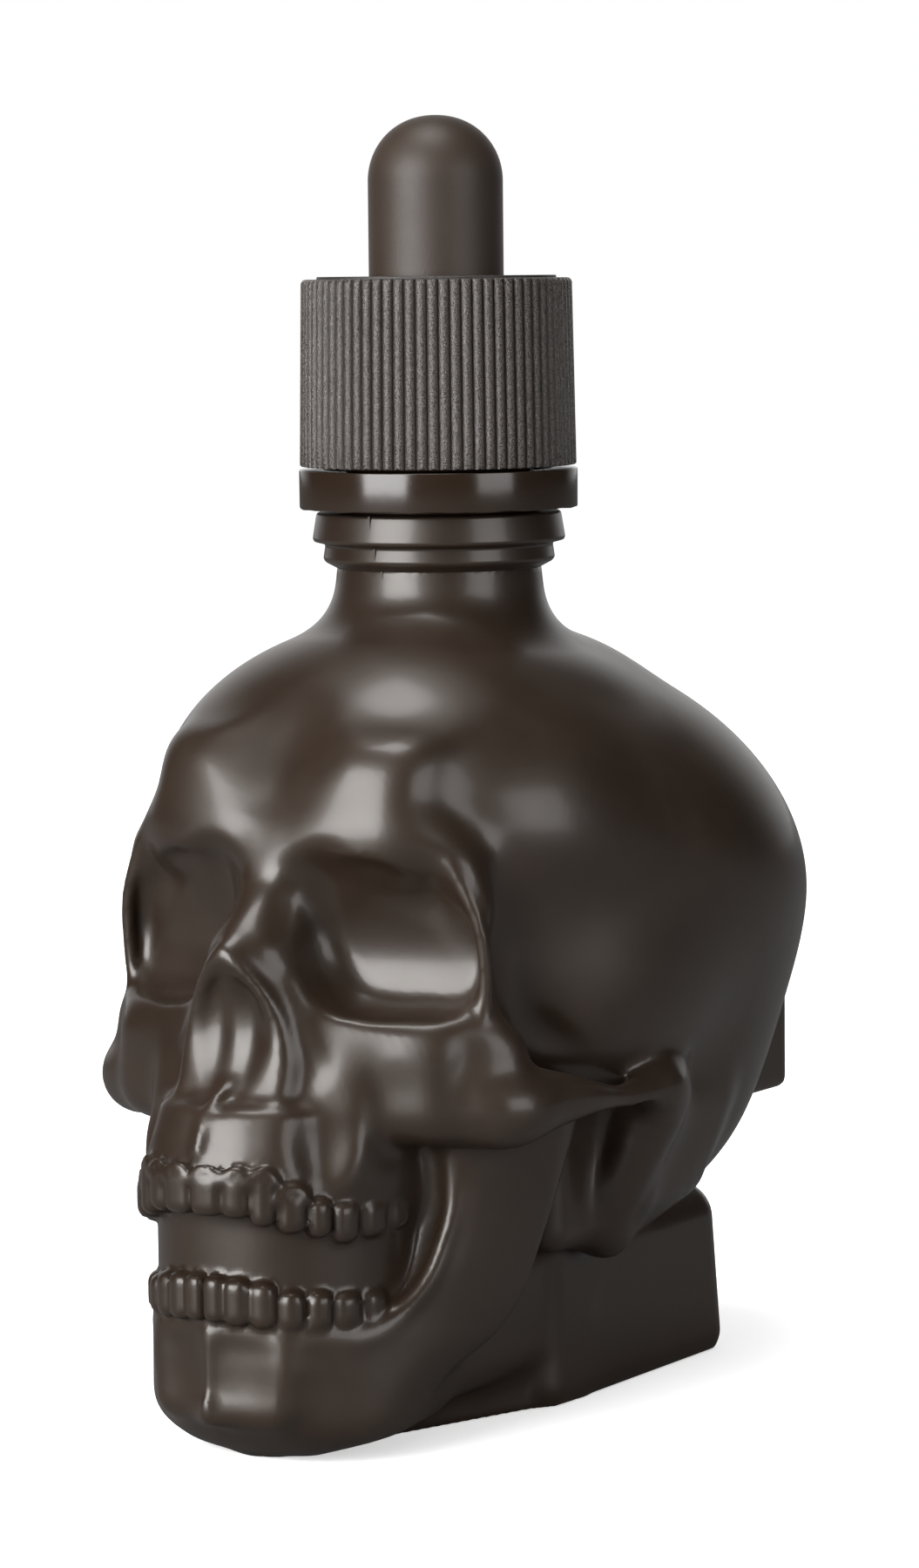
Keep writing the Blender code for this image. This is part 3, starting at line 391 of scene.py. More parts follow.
def skullClay(x, y, z):
    clay = Clay(x, y, z)
    # cranium
    clay.add(egg((0, 9.4, 46.1), (26.4, 30.5, 19.7), pitch=-17.7), 1)
    clay.add(egg((0, -8.4, 51.9), (20.8, 16.6, 15.4), pitch=-1), 7)
    clay.add(egg((0, 15.1, 30.4), (20, 22.7, 19.5)), 7)
    clay.add(egg((0, -0.5, 38.0), (24.2, 20.4, 15.5)), 5)
    # shoulder round the foot of the neck
    clay.add(egg((0, 10.0, 59.9), (12, 7.5, 6.2)), 4.5)
    clay.add(egg((0, 0.8, 60.5), (17, 15, 7.0)), 2.5)

    # brow
    def browFace(x, y, z):
        up = z - 52.0
        face = -26.6 + (x - 6) ** 2 / 34 + 0.13 * up + 0.012 * up**2 - y
        return smoothMax(face * 0.96, smoothMax(x - 13.5, abs(z - 54.0) - 6.0, 3.0), 3.0)

    clay.add(Form(browFace, (-1, -28, 47), (15, -14, 61)), 3.0)
    brow = [
        (0, -24.1, 50.6, 2.0),
        (1.6, -24.2, 50.8, 2.0),
        (4.8, -24.3, 51.8, 1.8),
        (9.2, -23.7, 52.4, 1.7),
        (13.0, -22.5, 51.8, 1.6),
        (15.8, -21.2, 49.6, 1.5),
        (17.1, -20.6, 46, 1.3),
    ]
    clay.add(ridge(brow), 2.5)

    # valley between the brow bosses, up the forehead
    def valley(x, y, z):
        plane = 0.323 * (np.sqrt(x**2 + 5.0) - 2.7) + 0.799 * (y + 26.7) - 0.5075 * (z - 53.3)
        return smoothMax(plane, smoothMax(x - 9.0, abs(z - 58.0) - 6.5, 3.0), 3.0)

    clay.carve(Form(valley, (-1, -30, 51), (11, -18, 68)), 0.9)
    clay.add(block((10.2, -18.2, 43.0), (6.2, 2.7, 8.6), 1.6, 4), 2.0)
    # hollow of the temple
    temple = [
        (17.2, -19.4, 50.2, 0.1),
        (17.8, -18.7, 48.0, 0.7),
        (18.5, -18.1, 45.6, 1.3),
        (19.2, -17.5, 42.6, 1.9),
        (19.5, -16.9, 39.4, 2.6),
        (19.8, -16.2, 36.6, 3.2),
        (20.4, -14.4, 34.3, 3.3),
        (21.8, -11.6, 32.6, 2.8),
        (23.2, -8.0, 31.4, 1.8),
    ]
    clay.carve(ridge(temple), 0.4)
    # middle of the face
    clay.add(egg((0, -19.5, 36.5), (15.5, 9.0, 12.5)), 3)
    clay.add(egg((0, -22.5, 31.5), (12.0, 9.2, 8.0)), 2.5)
    sideWall = [
        (15.6, -21.8, 49.8, 1.2),
        (17.0, -21.1, 46.4, 1.15),
        (17.5, -20.6, 42.4, 1.1),
        (17.3, -20.5, 38.6, 1.3),
        (17.2, -19.8, 34.2, 2.3),
    ]
    clay.add(ridge(sideWall), 1.0)
    lowerRim = [
        (4.2, -27.9, 39.6, 0.9),
        (6.2, -27.2, 37.2, 0.9),
        (8.8, -26.9, 36.2, 0.9),
        (11.4, -26.0, 36.0, 0.9),
        (14.2, -24.4, 36.0, 1.1),
        (16.6, -22.2, 36.2, 1.4),
    ]
    clay.add(ridge(lowerRim), 1.1)
    # cheek bone and the arch behind it
    clay.add(block((15.4, -20.6, 31.4), (5.4, 2.7, 4.6), 2.0, 38), 1.8)
    arch = [
        (13.4, -21.8, 31.0, 3.0),
        (18.3, -19.7, 29.5, 3.6),
        (20.4, -15.4, 29.7, 2.6),
        (21.8, -11.6, 29.5, 1.7),
        (22.4, -7.6, 29.0, 1.2),
        (22.6, -4.0, 28.9, 1.5),
        (22.4, -1.0, 29.2, 2.0),
    ]
    clay.add(ridge(arch), 1.3)
    cheekTop = [
        (8.8, -25.2, 34.2, 1.7),
        (11.6, -24.4, 34.0, 1.9),
        (14.4, -22.8, 34.0, 2.2),
    ]
    clay.add(ridge(cheekTop), 1.5)
    # crest below the cheek bone and the flat beside it
    crest = [
        (9.3, -26.7, 33.6, 0.9),
        (9.6, -27.4, 31.2, 1.0),
        (9.9, -27.8, 28.8, 1.0),
        (10.1, -28.3, 26.4, 0.9),
    ]
    clay.add(block((11.8, -24.0, 31.4), (4.7, 2.6, 4.3), 2.1, 17, pitch=-7), 2.4)
    clay.add(ridge([(17.2, -20.4, 35.0, 2.1), (17.2, -21.3, 31.4, 2.0)]), 1.0)
    clay.add(ridge(crest), 1.0)
    clay.carve(egg((7.0, -29.9, 30.6), (1.8, 2.6, 5.0), yaw=-16), 1.2)
    # nose bones
    noseBone = [
        (0.4, -29.2, 41.6, 2.6),
        (1.8, -28.6, 38.5, 2.9),
        (2.2, -28.8, 34.5, 3.0),
        (2.2, -29.6, 31.5, 3.0),
    ]
    clay.add(ridge(noseBone), 2.0)
    noseWing = [
        (6.2, -25.6, 35.0, 2.3),
        (6.9, -26.9, 31.5, 2.5),
        (7.0, -28.2, 28.4, 2.7),
        (6.8, -29.4, 26.0, 2.8),
    ]
    clay.add(ridge(noseWing), 2.0)
    noseBridge = [
        (0, -23.6, 51, 2.4),
        (0, -24.8, 47.8, 2.4),
        (0.6, -27.0, 45.0, 2.3),
        (1.0, -29.2, 42.6, 2.1),
    ]
    clay.add(ridge(noseBridge), 2.2)
    noseCrest = [
        (0, -25.2, 48.9, 0.8),
        (0, -26.5, 46.9, 0.8),
        (0, -29.5, 44.9, 0.8),
        (0, -32.5, 42.6, 0.75),
    ]
    clay.add(ridge(noseCrest), 1.4)
    noseSide = [
        (3.0, -25.0, 47.0, 1.8),
        (3.5, -26.6, 41.5, 1.8),
        (4.4, -27.2, 37, 1.8),
        (5.8, -27.4, 32, 1.7),
    ]
    clay.add(ridge(noseSide), 1.6)
    clay.soften(0.6)

    # jaw
    def jaw(x, y, z):
        a = 16.5 + 0.21 * np.clip(z - 11, 0, 16) * np.clip((y + 24) / 12, 0, 1)
        found = smoothMax(oval(x, y, a, 19.4, -12.5), z - 29.5, 1.0)
        found = smoothMax(found, (y + 13.6 - 0.30 * (z - 10)) * 0.96, 1.1)
        back = np.maximum(y + 29, 0)
        border = -z + 0.58 * back * np.exp(-((back / 26) ** 2)) + 0.22 * np.maximum(x - 6, 0)
        found = smoothMax(found, border * 0.85, 4.5)
        mouth = oval(y + 31.5, z, 11.0, 11.7, 22)
        return smoothMax(found, -mouth, 1.0)

    clay.add(Form(jaw, (-20, -34, -1), (20, 0, 30)), 0.5)
    edge = [
        (14.2, -20.4, 25.8, 0.7),
        (14.4, -20.6, 21.4, 0.8),
        (14.0, -21.4, 18.3, 0.8),
        (13.3, -23.0, 15.0, 0.8),
        (11.7, -25.4, 12.4, 0.7),
        (9.6, -27.8, 11.1, 0.5),
    ]
    clay.add(ridge(edge), 0.8)
    # glass between jaw, cranium and plinth
    clay.add(block((0, -2.0, 17.0), (12.1, 18.5, 14.0), 3.0), 1.0)

    def chin(x, y, z):
        down = np.clip(12.6 - z, 0, 12)
        return corner(oval(x, y, 11.1 + 0.12 * down, 13.2 - 0.3 * down, -23.2), abs(z - 7.4) - 5.2, 2.2)

    clay.add(Form(chin, (-13, -36.5, 1), (13, -10, 13)), 3.0)

    def foot(x, y, z):
        found = smoothMax((x - 12.3) * 0.945 - y * 0.326, -y - 29.5, 4)
        found = np.maximum(smoothMax(found, z - 9.0, 1), y - 4)
        return smoothMax(found, x - 12.4, 1)

    clay.add(Form(foot, (-14, -30, -4), (14, 4, 9)), 1.5)

    # mouth wall and gums
    def mouthWall(x, y, z):
        return corner(oval(x, y, 10.9, 11.7, -23.6), abs(z - 19) - 11, 0.5)

    def upperGum(x, y, z):
        up = np.clip(z - 24, 0, 12)
        ends = np.maximum(25.0 - 0.225 * (y + 38) - z, (z - 31.2 + 0.4 * x) * 0.93)
        return corner(oval(x, y, 10.7 - 0.27 * up, 13.75 - 0.7 * up, -24), ends, 2.0)

    def lowerGum(x, y, z):
        return corner(oval(x, y, 11.0, 12.9, -23.2), np.maximum(z - 12.6 + 0.06 * (y + 36), 10.4 - z), 0.7)

    clay.add(Form(mouthWall, (-12, -36, 7), (12, -12, 31)), 0.7)
    clay.add(Form(upperGum, (-12, -38, 21), (12, -10, 32)), 4.0)
    clay.add(Form(lowerGum, (-12, -37, 5), (12, -10, 13)), 0.8)
    # nose opening: a shallow hollow with a fold down its middle
    clay.carve(egg((0, -35.1, 36.8), (4.7, 4.6, 6.6)), 1.2)
    # rim of the nose opening, running down to the eye tooth
    rim = [
        (0, -32.5, 42.6, 0.6),
        (1.5, -32.4, 41.4, 0.55),
        (3.1, -31.7, 39.4, 0.55),
        (4.1, -31.0, 37.0, 0.55),
        (4.6, -30.9, 34.4, 0.6),
        (4.6, -31.2, 32.2, 0.7),
        (4.6, -32.2, 29.8, 0.8),
        (5.0, -33.2, 27.2, 0.8),
    ]
    clay.add(ridge(rim), 1.4)
    noseFold = [
        (0, -31.6, 41.4, 0.6),
        (0, -30.5, 38.6, 0.6),
        (0, -30.4, 35.4, 0.6),
        (0, -31.0, 32.0, 0.8),
    ]
    clay.add(ridge(noseFold), 2.0)
    noseSpine = [
        (0, -32.4, 31.2, 0.8),
        (0, -34.0, 30.9, 0.5),
        (0, -35.2, 29.6, 0.45),
        (0, -36.3, 28.2, 0.45),
        (0, -37.0, 26.8, 0.4),
    ]
    clay.add(ridge(noseSpine), 0.9)
    # hollow between the eye tooth and the crest below the cheek bone
    clay.carve(egg((9.7, -32.3, 28.6), (2.3, 2.3, 5.0), yaw=50), 1.7)
    # two short folds between the brows
    browFold = [
        (0.75, -26.0, 49.6, 0.3),
        (0.85, -26.1, 48.6, 0.4),
        (0.6, -26.7, 47.6, 0.3),
    ]
    clay.add(ridge(browFold), 0.4)
    # chin: a crest between two flats
    clay.add(block((3.0, -33.0, 7.2), (3.4, 2.4, 3.2), 1.6, 15), 2.6)
    chinCrest = [
        (0, -35.6, 10.2, 0.5),
        (0, -36.2, 8.2, 0.6),
        (0, -36.4, 6.2, 0.6),
        (0, -35.6, 4.6, 0.6),
    ]
    clay.add(ridge(chinCrest), 2.2)
    clay.carve(egg((3.4, -37.6, 9.0), (3.6, 2.5, 4.6), yaw=13), 2.6)
    clay.soften(0.35)
    # eye sockets
    opening = [
        (3.9, 42.4),
        (5.2, 39.6),
        (7.3, 37.6),
        (9.6, 37.1),
        (13.0, 37.1),
        (16.2, 37.4),
        (17.9, 38.8),
        (18.3, 41.4),
        (18.0, 44.3),
        (17.1, 46.8),
        (15.6, 48.5),
        (13.6, 49.7),
        (12.0, 50.4),
        (9.8, 51.2),
        (7.4, 51.1),
        (5.2, 50.2),
        (3.9, 48.4),
        (3.6, 45.6),
    ]
    hollow = socket((11.0, 44.4), opening, back=-21.6, slope=0.24, bend=0.055, level=42.0, r=2.2)
    clay.carve(hollow, 0.45)
    clay.carve(egg((5.8, -29.8, 47.6), (3.4, 4.6, 3.6)), 2.0)
    # thin lips of the sockets
    outerLip = [
        (15.6, -22.6, 49.9, 0.4),
        (16.9, -22.2, 47.5, 0.55),
        (17.9, -21.8, 44.9, 0.55),
        (18.2, -21.4, 42.0, 0.55),
        (18.1, -21.2, 39.2, 0.55),
        (17.8, -21.3, 36.6, 0.5),
    ]
    clay.add(ridge(outerLip), 0.5)
    innerLip = [
        (4.1, -28.6, 40.0, 0.5),
        (4.7, -28.7, 37.5, 0.55),
        (5.8, -28.6, 35.2, 0.6),
        (7.0, -28.0, 33.4, 0.6),
    ]
    clay.add(ridge(innerLip), 1.0)
    # teeth
    setTeeth(clay, upperTeeth, a=11.6, b=14.3, middle=-24, depth=1.5, gap=0.16, gumLines=True)
    setTeeth(clay, lowerTeeth, a=11.6, b=13.5, middle=-23.2, depth=1.5, gap=0.14, gumLines=False)
    # bone behind the ear, and the ear hollow
    earBone = [
        (20.4, 1.6, 28.0, 3.2),
        (18.8, 0.4, 22.5, 2.2),
        (16.6, 0.0, 17.0, 1.6),
        (15.4, 1.6, 15.0, 1.5),
    ]
    clay.add(ridge(earBone), 3.0)
    earBoneFoot = [
        (15.6, 1.6, 15.2, 1.5),
        (14.6, 6.0, 16.6, 2.4),
        (13.5, 10.0, 18.6, 3.4),
    ]
    clay.add(ridge(earBoneFoot), 2.4)
    clay.add(block((13.4, -2.2, 21.5), (3.0, 5.8, 7.0), 2.2), 2.5)
    clay.add(block((16.0, 8.4, 22.6), (3.4, 7.2, 5.6), 2.4, 8, roll=-17), 3.5)
    clay.carve(egg((23.3, -4.4, 26.9), (2.4, 1.9, 1.2)), 0.6)

    # plinth under the back of the skull, and the pad on its back
    def plinth(x, y, z):
        t = 1 + 0.0027 * (z - 4)
        return block((0, 11.9, 7.2), (12.9, 15.8, 8.4), 3.2).measure(x * t, y * t, z)

    clay.add(Form(plinth, (-13, -4, -2), (13, 28, 16)), 0.6)
    clay.add(block((0, 34.6, 29.5), (11.2, 7.0, 7.6), 1.0), 0.8)
    # nothing stands out past the front of the solid
    clay.carve(Form(lambda x, y, z: y + skull["faceLimit"], (-2, -40, 3), (14, -37, 40)), 0.1)
    return clay


def neckStub(x, y, z):
    side = np.sqrt(x**2 + y**2) - skull["neckRadius"] - skull["neckTaper"] * (skull["neckFoot"] - z)
    return np.maximum(side, np.maximum(z - skull["neckFoot"], skull["height"] - 10 - z))


def sampled(step, offset=0.0):
    x = np.arange(0, skull["side"], step)
    y = np.arange(skull["front"], skull["back"], step)
    z = np.arange(skull["under"], skull["over"], step)
    clay = skullClay(x, y, z)
    reach = skull["neckRadius"] + 2
    low, high = (-reach, -reach, skull["height"] - 10), (reach, reach, skull["neckFoot"])
    clay.add(Form(neckStub, low, high), skull["neckBlend"])
    bottom = skull["floorWall"] if offset else skull["footGap"]
    values = np.maximum(clay.distance + offset, bottom - z[None, None, :])
    values = np.concatenate([values[:0:-1], values], 0)
    return values, np.array([-x[-1], y[0], z[0]])


def fillPinches(values):  # fills grid corners where the surface would touch itself
    for _ in range(6):
        inside = values < 0
        fill = np.zeros_like(inside)
        for a, b in ((0, 1), (0, 2), (1, 2)):
            parts = []
            for da, db in ((0, 0), (1, 1), (0, 1), (1, 0)):
                cut = [slice(None)] * 3
                cut[a] = slice(da, values.shape[a] - 1 + da)
                cut[b] = slice(db, values.shape[b] - 1 + db)
                parts.append(tuple(cut))
            p, q, r, t = [inside[part] for part in parts]
            pinched = ((p & q) & ~(r | t)) | (~(p | q) & (r & t))
            for part in parts:
                fill[part] |= pinched
        corners = []
        for i in range(8):
            offset = (i & 1, i >> 1 & 1, i >> 2)
            corners.append(tuple(slice(o, n - 1 + o) for o, n in zip(offset, values.shape)))
        count = sum(inside[cut].astype(np.int8) for cut in corners)
        for i in range(4):
            first, last = inside[corners[i]], inside[corners[7 - i]]
            alone = (count == 2) & first & last | (count == 6) & ~first & ~last
            for cut in corners:
                fill[cut] |= alone
        fill &= ~inside
        if not fill.any():
            break
        values[fill] = -0.03
    return values


def surfaceOf(values, low, step):  # surface nets: a point in each crossed cell, a face on each crossed edge
    inside = values < 0
    cells = np.array(values.shape) - 1
    total = np.zeros(tuple(cells) + (3,), np.float32)
    count = np.zeros(tuple(cells), np.float32)
    crossings = []
    for axis in range(3):
        first = [slice(None)] * 3
        second = [slice(None)] * 3
        first[axis] = slice(0, -1)
        second[axis] = slice(1, None)
        where = np.argwhere(inside[tuple(first)] != inside[tuple(second)])
        a = values[tuple(first)][tuple(where.T)]
        b = values[tuple(second)][tuple(where.T)]
        crossing = where.astype(np.float32)
        crossing[:, axis] += a / (a - b)
        others = [k for k in range(3) if k != axis]
        for da in (0, 1):
            for db in (0, 1):
                cell = where.copy()
                cell[:, others[0]] -= da
                cell[:, others[1]] -= db
                good = np.all((cell >= 0) & (cell < cells), axis=1)
                keys = tuple(cell[good].T)
                np.add.at(total, keys, crossing[good])
                np.add.at(count, keys, 1)
        crossings.append((axis, others, where, a < 0))
    used = count > 0
    index = -np.ones(tuple(cells), int)
    index[used] = np.arange(int(used.sum()))
    points = total[used] / count[used][:, None] * step + low
    faces = []
    for axis, others, where, startsInside in crossings:
        good = np.all((where[:, others] > 0) & (where[:, others] < cells[others]), axis=1)
        where = where[good]
        startsInside = startsInside[good]
        ring = []
        for da, db in ((0, 0), (1, 0), (1, 1), (0, 1)):
            cell = where.copy()
            cell[:, others[0]] -= da
            cell[:, others[1]] -= db
            ring.append(index[tuple(cell.T)])
        quad = np.stack(ring, 1)
        keep = startsInside if axis != 1 else ~startsInside
        quad[~keep] = quad[~keep][:, ::-1]
        faces.append(quad)
    return points, np.concatenate(faces)


def readGrid(values, spots):  # trilinear reading at fractional spots
    spots = np.clip(spots, 0, np.array(values.shape) - 1.001)
    base = spots.astype(int)
    part = (spots - base).astype(np.float32)
    found = 0
    for i in (0, 1):
        for j in (0, 1):
            for k in (0, 1):
                weight = 1
                for axis, high in enumerate((i, j, k)):
                    weight = weight * (part[:, axis] if high else 1 - part[:, axis])
                found = found + weight * values[base[:, 0] + i, base[:, 1] + j, base[:, 2] + k]
    return found


def settled(points, values, low, step):  # slides the points onto the zero surface
    slopes = np.gradient(values, step)
    for _ in range(3):
        spots = (points - low) / step
        value = readGrid(values, spots)
        slope = np.stack([readGrid(part, spots) for part in slopes], 1)
        points = points - slope * (value / ((slope**2).sum(1) + 1e-6))[:, None] * 0.8
    return points


def cavityOnly(values, seed):  # keeps the one hollow that holds the seed
    inside = values < 0
    reached = np.zeros_like(inside)
    reached[seed] = True
    size = 0
    while int(reached.sum()) != size:
        size = int(reached.sum())
        grown = reached.copy()
        for axis in range(3):
            for way in (1, -1):
                grown |= np.roll(reached, way, axis)
        reached = grown & inside
    values[inside & ~reached] = 0.4
    return values


def meshObject(name, points, faces):
    mesh = bpy.data.meshes.new(name)
    mesh.from_pydata((np.asarray(points) * mm).tolist(), [], [list(map(int, face)) for face in faces])
    mesh.shade_smooth()
    thing = bpy.data.objects.new(name, mesh)
    bpy.context.scene.collection.objects.link(thing)
    return thing


def clayObject(name, step, offset=0.0):
    values, low = sampled(step, offset)
    if offset:
        seed = tuple(np.round((np.array(skull["heart"]) - low) / step).astype(int))
        values = cavityOnly(values, seed)
    values = fillPinches(values)
    points, faces = surfaceOf(values, low, step)
    return meshObject(name, settled(points, values, low, step), faces)


def softLine(corners, steps=4):  # replaces each (radius, height, rounding) corner by a short arc
    line = []
    for i, (r, z, soft) in enumerate(corners):
        here = np.array([r, z], float)
        if soft <= 0 or i in (0, len(corners) - 1) and corners[0][0] <= 0:
            line.append(here)
            continue
        before = np.array(corners[i - 1][:2], float)
        after = np.array(corners[(i + 1) % len(corners)][:2], float)
        back, forth = before - here, after - here
        near = min(soft, 0.45 * np.hypot(*back), 0.45 * np.hypot(*forth))
        start = here + back / np.hypot(*back) * near
        end = here + forth / np.hypot(*forth) * near
        for k in range(steps + 1):
            t = k / steps
            line.append((1 - t) ** 2 * start + 2 * t * (1 - t) * here + t * t * end)
    return line


def turned(name, corners, around, wobble=None, arc=4):  # a profile swept round Z
    line = softLine(corners, arc)
    ring = len(line)
    closed = corners[0][0] > 0
    points = []
    for k in range(around):
        angle = 2 * math.pi * k / around
        for r, z in line:
            if wobble:
                r, z = wobble(angle, r, z)
            points.append((r * math.cos(angle), r * math.sin(angle), z))
    faces = []
    for k in range(around):
        a = k * ring
        b = (k + 1) % around * ring
        for i in range(ring if closed else ring - 1):
            j = (i + 1) % ring
            faces.append((a + i, b + i, b + j, a + j))
    thing = meshObject(name, points, faces)
    weldMesh(thing)
    return thing


def weldMesh(thing):
    work = bmesh.new()
    work.from_mesh(thing.data)
    bmesh.ops.remove_doubles(work, verts=work.verts, dist=1e-6)
    bmesh.ops.dissolve_degenerate(work, edges=work.edges, dist=1e-7)
    work.to_mesh(thing.data)
    work.free()
    thing.data.shade_smooth()


def threadBead(name, radius, start, turns, pitch, bead, perTurn=72, sides=14, lead=0.07):
    count = int(perTurn * turns)
    points = []
    for i in range(count + 1):
        turn = turns * i / count
        angle = 2 * math.pi * turn + lead
        size = bead * min(1.0, 0.25 + 3.0 * min(turn, turns - turn))
        for k in range(sides):
            lean = 2 * math.pi * k / sides
            r = radius + size * math.cos(lean)
            z = start + pitch * turn + size * math.sin(lean)
            points.append((r * math.cos(angle), r * math.sin(angle), z))
    faces = []
    for i in range(count):
        for k in range(sides):
            m = (k + 1) % sides
            faces.append((i * sides + k, (i + 1) * sides + k, (i + 1) * sides + m, i * sides + m))
    faces.append(list(range(sides)))
    faces.append(list(range(count * sides + sides - 1, count * sides - 1, -1)))
    return meshObject(name, points, faces)


def joined(thing, others, operation):  # one boolean after the other
    for other in others:
        step = thing.modifiers.new("step", "BOOLEAN")
        step.operation = operation
        step.solver = "MANIFOLD"
        step.object = other
    seen = thing.evaluated_get(bpy.context.evaluated_depsgraph_get())
    mesh = bpy.data.meshes.new_from_object(seen)
    thing.modifiers.clear()
    thing.data = mesh
    for other in others:
        bpy.data.objects.remove(other)
    return thing


def sharpened(thing, degrees=40):
    thing.data.shade_smooth()
    thing.data.set_sharp_from_angle(angle=math.radians(degrees))


def dressed(thing, body, node, material):
    thing.data.materials.clear()
    thing.data.materials.append(material)
    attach(thing, body)
    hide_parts(node)


# finishes

tones = {  # the darker and the paler tone of each finish
    "lacquer": ((0.0185, 0.0108, 0.0066), (0.0235, 0.0140, 0.0088)),
    "gloss": ((0.0170, 0.0102, 0.0063), (0.0205, 0.0126, 0.0081)),
    # for the cap, the paler tone is partly the plastic's own speckled grain and partly a painted highlight
    # on the rib crests; the darker tone is painted shade in the grooves
    "textured": ((0.010, 0.0064, 0.0042), (0.085, 0.067, 0.055)),
    "rubber": ((0.0270, 0.0165, 0.0105), (0.0330, 0.0210, 0.0140)),
}
crestSheenStart = (13.04, 13.3)  # mm from the axis at table height, where the rib crests start to be painted paler: a painted highlight on the crests over painted shade in the grooves
shellTaper = 0.0172  # how much the shell narrows on the way up


def lacquerFinish():
    fixed = {"Roughness": 0.36, "IOR": 1.5, "Coat Weight": 0.25, "Coat Roughness": 0.18, "Coat IOR": 1.5}
    fixed["Specular Tint"] = (1.0, 0.97, 0.93, 1)
    made, shader, start = newMaterial("blackLacqueredGlass", fixed)
    cloud = start.noise(start.at, 9.0, 4)
    peel = start.noise(start.at, 0.55, 2)
    grit = start.noise(start.at, 0.09, 1)
    feed(shader, "Base Color", start.tint(cloud.smoothed(0.35, 0.7), *tones["lacquer"]))
    feed(shader, "Roughness", 0.33 + 0.07 * cloud.smoothed(0.3, 0.7) + 0.05 * grit)
    feed(shader, "Normal", start.bump(peel + 0.25 * grit, 0.012, 0.6))
    return made


def glossFinish(name, rough):
    made, shader, start = newMaterial(name, {"Roughness": rough, "IOR": 1.5})
    streak = start.noise(start.at, 2.5, 3)
    scuff = start.noise(start.at, 0.25, 4, 0.7)
    feed(shader, "Base Color", start.tint(streak, *tones["gloss"]))
    feed(shader, "Roughness", rough + 0.12 * scuff.smoothed(0.55, 0.8))
    feed(shader, "Normal", start.bump(streak, 0.02, 0.5))
    return made


def texturedFinish():
    made, shader, start = newMaterial("texturedBlackPlastic", {"Roughness": 0.4, "IOR": 1.7})
    grain = start.noise(start.at, 0.11, 2)
    fine = start.noise(start.at, 0.05, 2)
    worn = start.noise(start.at, 3.0, 3)
    x, y, z = (start.node("ShaderNodeSeparateXYZ", {}, {0: start.at}, k) for k in range(3))
    radius = (x**2 + y**2) ** 0.5 + shellTaper * z
    # crests painted paler and grooves darker: a painted highlight and painted shade, laid over the plastic's
    # own grain
    crest = radius.smoothed(crestSheenStart[0] * mm, crestSheenStart[1] * mm)
    grainAndCrestSheen = grain.smoothed(0.42, 0.66) * (0.1 + 0.9 * crest)
    feed(shader, "Base Color", start.tint(grainAndCrestSheen, *tones["textured"]))
    feed(shader, "Roughness", 0.42 - 0.24 * crest + 0.08 * worn)
    feed(shader, "Normal", start.bump(grain + 0.4 * fine, 0.07, 1.0))
    return made


def rubberFinish():
    made, shader, start = newMaterial("blackRubber", {"Roughness": 0.6, "IOR": 1.5})
    bloom = start.noise(start.at, 4.0, 3)
    grain = start.noise(start.at, 0.14, 3)
    feed(shader, "Base Color", start.tint(bloom, *tones["rubber"]))
    feed(shader, "Roughness", 0.43 + 0.1 * bloom + 0.06 * grain)
    feed(shader, "Normal", start.bump(grain, 0.015, 0.7))
    return made


def glassFinish():
    fixed = {"Base Color": (0.94, 0.97, 0.96, 1), "Roughness": 0.02, "IOR": 1.5, "Transmission Weight": 1.0}
    made, shader, start = newMaterial("clearGlass", fixed)
    smear = start.noise(start.at, 3.0, 3)
    feed(shader, "Roughness", 0.01 + 0.05 * smear.smoothed(0.5, 0.8))
    return made


lacquer = lacquerFinish()
gloss = glossFinish("glossBlackPlastic", 0.16)
innerGloss = glossFinish("glossBlackPlasticInner", 0.22)
textured = texturedFinish()
rubber = rubberFinish()
clear = glassFinish()
print("finishes made")


# glass bottle

neck = {
    "top": 92.6,
    "bore": 5.5,
    "finish": 7.9,
    "bead": 9.5,
    "collar": 10.97,
    "collarTop": 77.45,
    "ring": 10.06,
    "threadStart": 84.9,
    "threadTurns": 1.3,
    "pitch": 3.0,
    "threadBead": 0.85,
    "seamWidth": 0.2,
    "seamDepth": 0.76,
}


def blockRing(name, count, middle, along, across, low, high, start=30):  # blocks round the axis
    points = []
    faces = []
    for i in range(count):
        turn = math.radians(start + 360 / count * i)
        c, s = math.cos(turn), math.sin(turn)
        for z in (low, high):
            for u, v in ((-1, -1), (1, -1), (1, 1), (-1, 1)):
                r = middle + u * along / 2
                aside = v * across / 2
                points.append((r * c - aside * s, r * s + aside * c, z))
        a = i * 8
        faces += [(a + 3, a + 2, a + 1, a), (a + 4, a + 5, a + 6, a + 7)]
        faces += [(a + k, a + (k + 1) % 4, a + 4 + (k + 1) % 4, a + 4 + k) for k in range(4)]
    return meshObject(name, points, faces)


